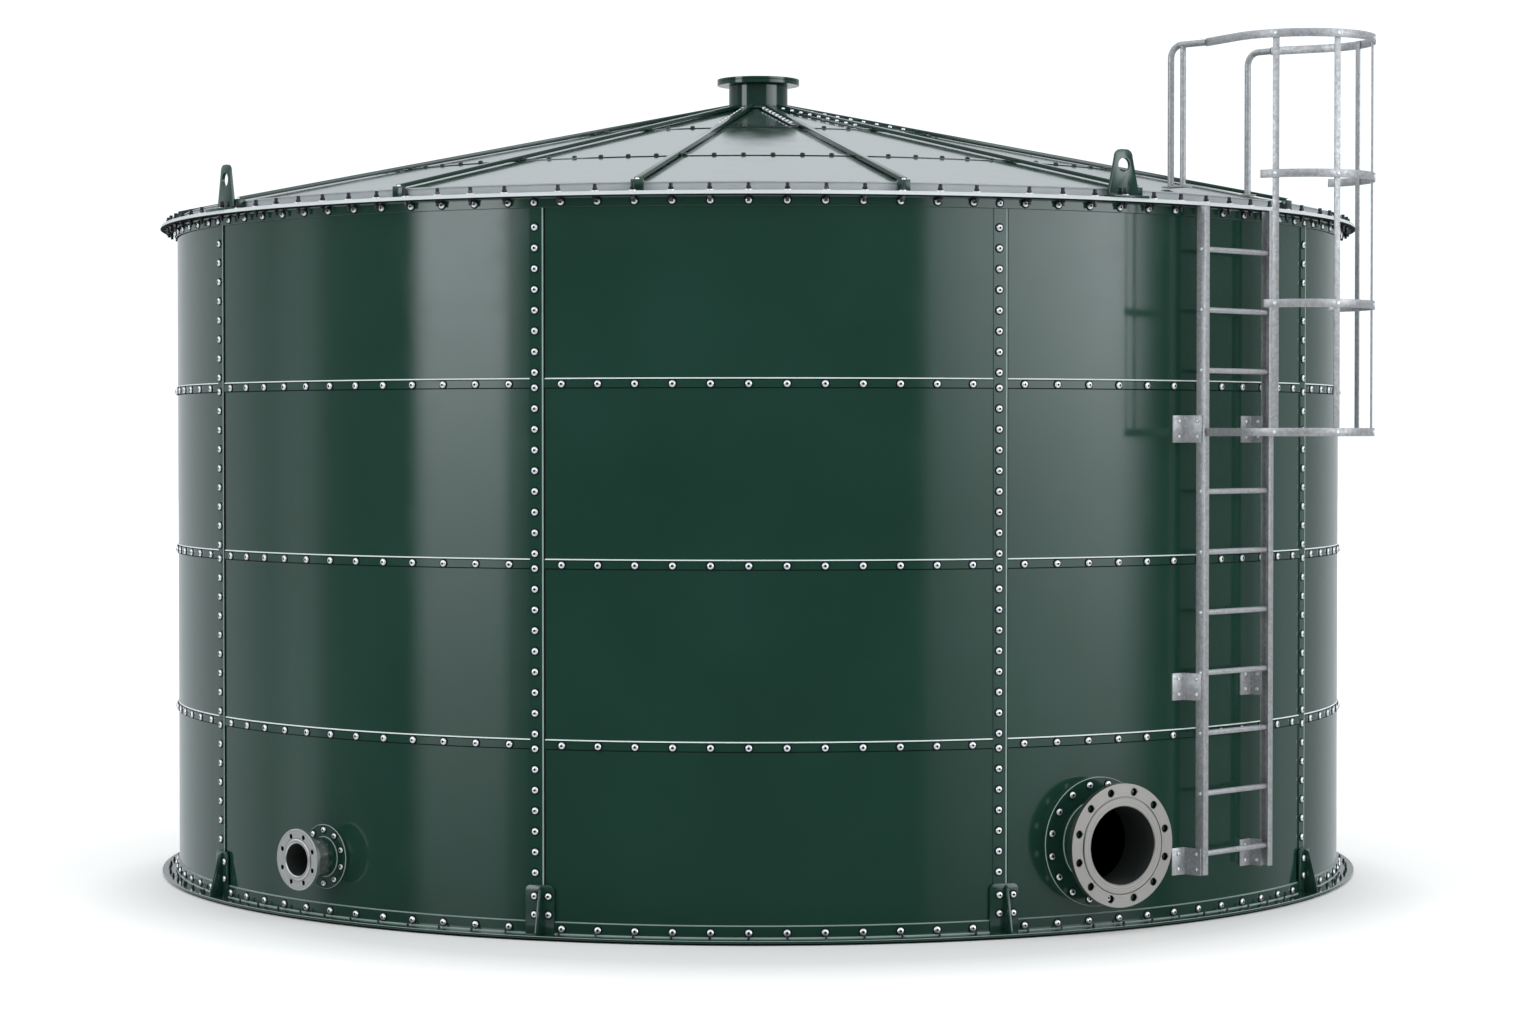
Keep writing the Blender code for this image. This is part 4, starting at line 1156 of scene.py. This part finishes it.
# %% Nozzle pads, brackets, rungs and cage
# The dark washer rings of the pads are painted shade round the heads.
for nozzle, size in ((LARGE, 1.0), (SMALL, 0.85)):
    spots = ring_of(nozzle["pad_bolts"], nozzle["pad_circle"], PAD_FACE, nozzle["first_bolt"])
    places = [nozzle_place(nozzle) @ spot for spot in spots]
    name = nozzle["name"]
    piece(f"{name}_pad_bolts", repeated(dome_bolt(size), places), ZINC)
    piece(f"{name}_pad_washer_shade", repeated(shade_ring_and_dark_centre(size), places), SHADE)
    print(name, "pad bolts", len(places))
small_places = []
for height in BRACKETS.values():
    for side in ("near", "far"):
        _, arm, end, foot_face = bracket_parts(side)
        for rise in (-0.038, 0.038):
            lean = Matrix.Rotation(math.asin((arm - 0.050) / SHELL), 4, "Z")
            foot_spot = shift(foot_face + 0.002, arm - 0.050, height + rise) @ lean
            arm_spot = shift(end - 0.026, arm - 0.008, height + rise) @ SIDEWAYS
            small_places += [ladder_place @ foot_spot, ladder_place @ arm_spot]
web = STRINGER_OFFSET + STRINGER_WIDTH / 2
TO_FAR = Matrix.Rotation(math.radians(90), 4, "Z")
for height in RUNG_HEIGHTS:
    small_places.append(ladder_place @ shift(RUNG_LINE, -web, height) @ SIDEWAYS)
    small_places.append(ladder_place @ shift(RUNG_LINE, web, height) @ TO_FAR)
for turn in BAR_TURNS:
    for height in HOOP_HEIGHTS:
        spin = Matrix.Rotation(math.radians(turn), 4, "Z")
        small_places.append(cage_centre @ spin @ shift(CAGE_RADIUS - 0.001, 0, height))
piece("small_bolts", repeated(dome_bolt(0.55), small_places), ZINC)
print("small bolts", len(small_places))

# %% [markdown]
# ## Room and light
# The photo is a studio shot on white. A glossy wall shows the room more than its own colour, so
# the room is built as a world shader: two upright soft lights, a dark front, and a ceiling that
# brightens upwards. Lamps of the same sizes would work too, but a world has no noise or edges.
# Rays straight from the camera see plain white. The floor is kept out of reflections, since the
# wall's reflections run unbroken down to the base. The world is bright far below the horizon
# instead, which lights the lower halves of bolts and rungs as a white floor would.

# %% World
def ramp_of(tree, value, low, high, stops):
    """Smooth lookup of (place, brightness) stops between two ends."""
    peak = max(brightness for _, brightness in stops)
    node = tree.nodes.new("ShaderNodeValToRGB")
    ramp = node.color_ramp
    while len(ramp.elements) < len(stops):
        ramp.elements.new(0.5)
    for element, (place, brightness) in zip(ramp.elements, stops):
        element.position = (place - low) / (high - low)
        grey = brightness / peak
        element.color = (grey, grey, grey, 1)
    tree.links.new(ranged(tree, value, 0.0, 1.0, low, high), node.inputs["Fac"])
    return maths(tree, "MULTIPLY", node.outputs["Color"], peak)


ROOM = [
    (-180, 0.70), (-150, 0.65), (-130, 0.60), (-118, 0.57), (-107, 0.46), (-99, 0.75),
    (-94, 0.70), (-89, 0.22), (-80, 0.12), (-70, 0.08), (-41, 0.06), (31, 0.06), (83, 0.05),
    (88, 0.24), (105, 0.24), (121, 0.50), (135, 0.42), (150, 0.60), (180, 0.70),
]
SOFT_LIGHTS = [
    (-180, 0), (-69, 0), (-65, 0.95), (-49, 0.95), (-45.2, 0), (30.5, 0), (32, 0.29),
    (38, 0.44), (46, 0.60), (54, 0.74), (67, 0.95), (72, 0.93), (74.4, 0.68), (79.3, 0.13),
    (82, 0), (180, 0),
]
FADE = [(-90, 0), (-9, 0.4), (-6.5, 0.8), (-3.5, 1.55), (-0.5, 2.65), (2.3, 4.8), (4, 5.4),
        (14, 5.0), (24, 0), (90, 0)]
CEILING = [(-90, 0.2), (0, 0.30), (10, 0.66), (23, 1.25), (40, 1.25), (60, 0.95), (90, 0.8)]
world = bpy.data.worlds.new("room")
bpy.context.scene.world = world
world.use_nodes = True
tree = world.node_tree
sky = tree.nodes["Background"]
split = tree.nodes.new("ShaderNodeSeparateXYZ")
tree.links.new(tree.nodes.new("ShaderNodeTexCoord").outputs["Generated"], split.inputs[0])
front = maths(tree, "MULTIPLY", split.outputs["Y"], -1.0)
azimuth = maths(tree, "DEGREES", maths(tree, "ARCTAN2", split.outputs["X"], front))
elevation = maths(tree, "DEGREES", maths(tree, "ARCSINE", split.outputs["Z"]))
lights = maths(
    tree, "MULTIPLY",
    ramp_of(tree, azimuth, -180, 180, SOFT_LIGHTS),
    ramp_of(tree, elevation, -90, 90, FADE),
)
high = ranged(tree, elevation, 0.0, 1.0, 3.0, 12.0)
below = ranged(tree, elevation, 0.85, 0.0, -25.0, -14.0)
low = maths(tree, "SUBTRACT", 1.0, high)
room = maths(
    tree, "ADD",
    maths(tree, "MULTIPLY", low, ramp_of(tree, azimuth, -180, 180, ROOM)),
    maths(tree, "MULTIPLY", high, ramp_of(tree, elevation, -90, 90, CEILING)),
)
room = maths(tree, "MAXIMUM", room, below)
seen = tree.nodes.new("ShaderNodeLightPath").outputs["Is Camera Ray"]
strength = tree.nodes.new("ShaderNodeMix")
tree.links.new(seen, strength.inputs[0])
tree.links.new(maths(tree, "ADD", lights, room), strength.inputs[2])
strength.inputs[3].default_value = 1.1
tree.links.new(strength.outputs[0], sky.inputs["Strength"])
sky.inputs["Color"].default_value = (0.94, 1.0, 1.04, 1)
print("world nodes", len(tree.nodes))

# %% [markdown]
# The floor is pale and fades into the white room. A slight glow that starts a little way out keeps
# the soft shade at the tank's foot and takes it off everywhere else, which a larger room light
# would do too, but with the shade gone.

# %% Floor
floor_mesh = bpy.data.meshes.new("floor")
floor_mesh.from_pydata([(-90, -60, 0), (90, -60, 0), (90, 120, 0), (-90, 120, 0)], [], [(0, 1, 2, 3)])
floor = bpy.data.objects.new("floor", floor_mesh)
bpy.context.scene.collection.objects.link(floor)
pale = bpy.data.materials.new("pale_floor")
pale.use_nodes = True
pale_shader = pale.node_tree.nodes["Principled BSDF"]
pale_shader.inputs["Roughness"].default_value = 0.9
pale_shader.inputs["Specular IOR Level"].default_value = 0.1
pale_shader.inputs["Base Color"].default_value = (0.96, 0.92, 0.89, 1)
pale_shader.inputs["Emission Strength"].default_value = 1.0
pale_tree = pale.node_tree
distance = pale_tree.nodes.new("ShaderNodeVectorMath")
distance.operation = "DISTANCE"
distance.inputs[1].default_value = (0.0, -0.9, 0.0)
where = pale_tree.nodes.new("ShaderNodeTexCoord").outputs["Object"]
pale_tree.links.new(where, distance.inputs[0])
glow = ranged(pale_tree, distance.outputs["Value"], 0.0, 0.27, 2.95, 3.65)
pale_tree.links.new(glow, pale_shader.inputs["Emission Color"])
floor_mesh.materials.append(pale)
floor.visible_glossy = False

# %% [markdown]
# ## Camera
# The place and lens come from a fit to the ellipses of the rings and to the seams in the photo.

# %% Camera and finish
camera_data = bpy.data.cameras.new("camera")
camera_data.sensor_width = 36.0
camera_data.lens = 80.98
camera_data.clip_end = 500.0
camera = bpy.data.objects.new("camera", camera_data)
camera.location = (0.0, -19.641, 2.393)
camera.rotation_euler = (math.pi / 2 - 0.0207, 0.0, -0.0028)
bpy.context.scene.collection.objects.link(camera)
bpy.context.scene.camera = camera
bpy.context.scene.view_settings.view_transform = "Standard"

bpy.context.view_layer.update()
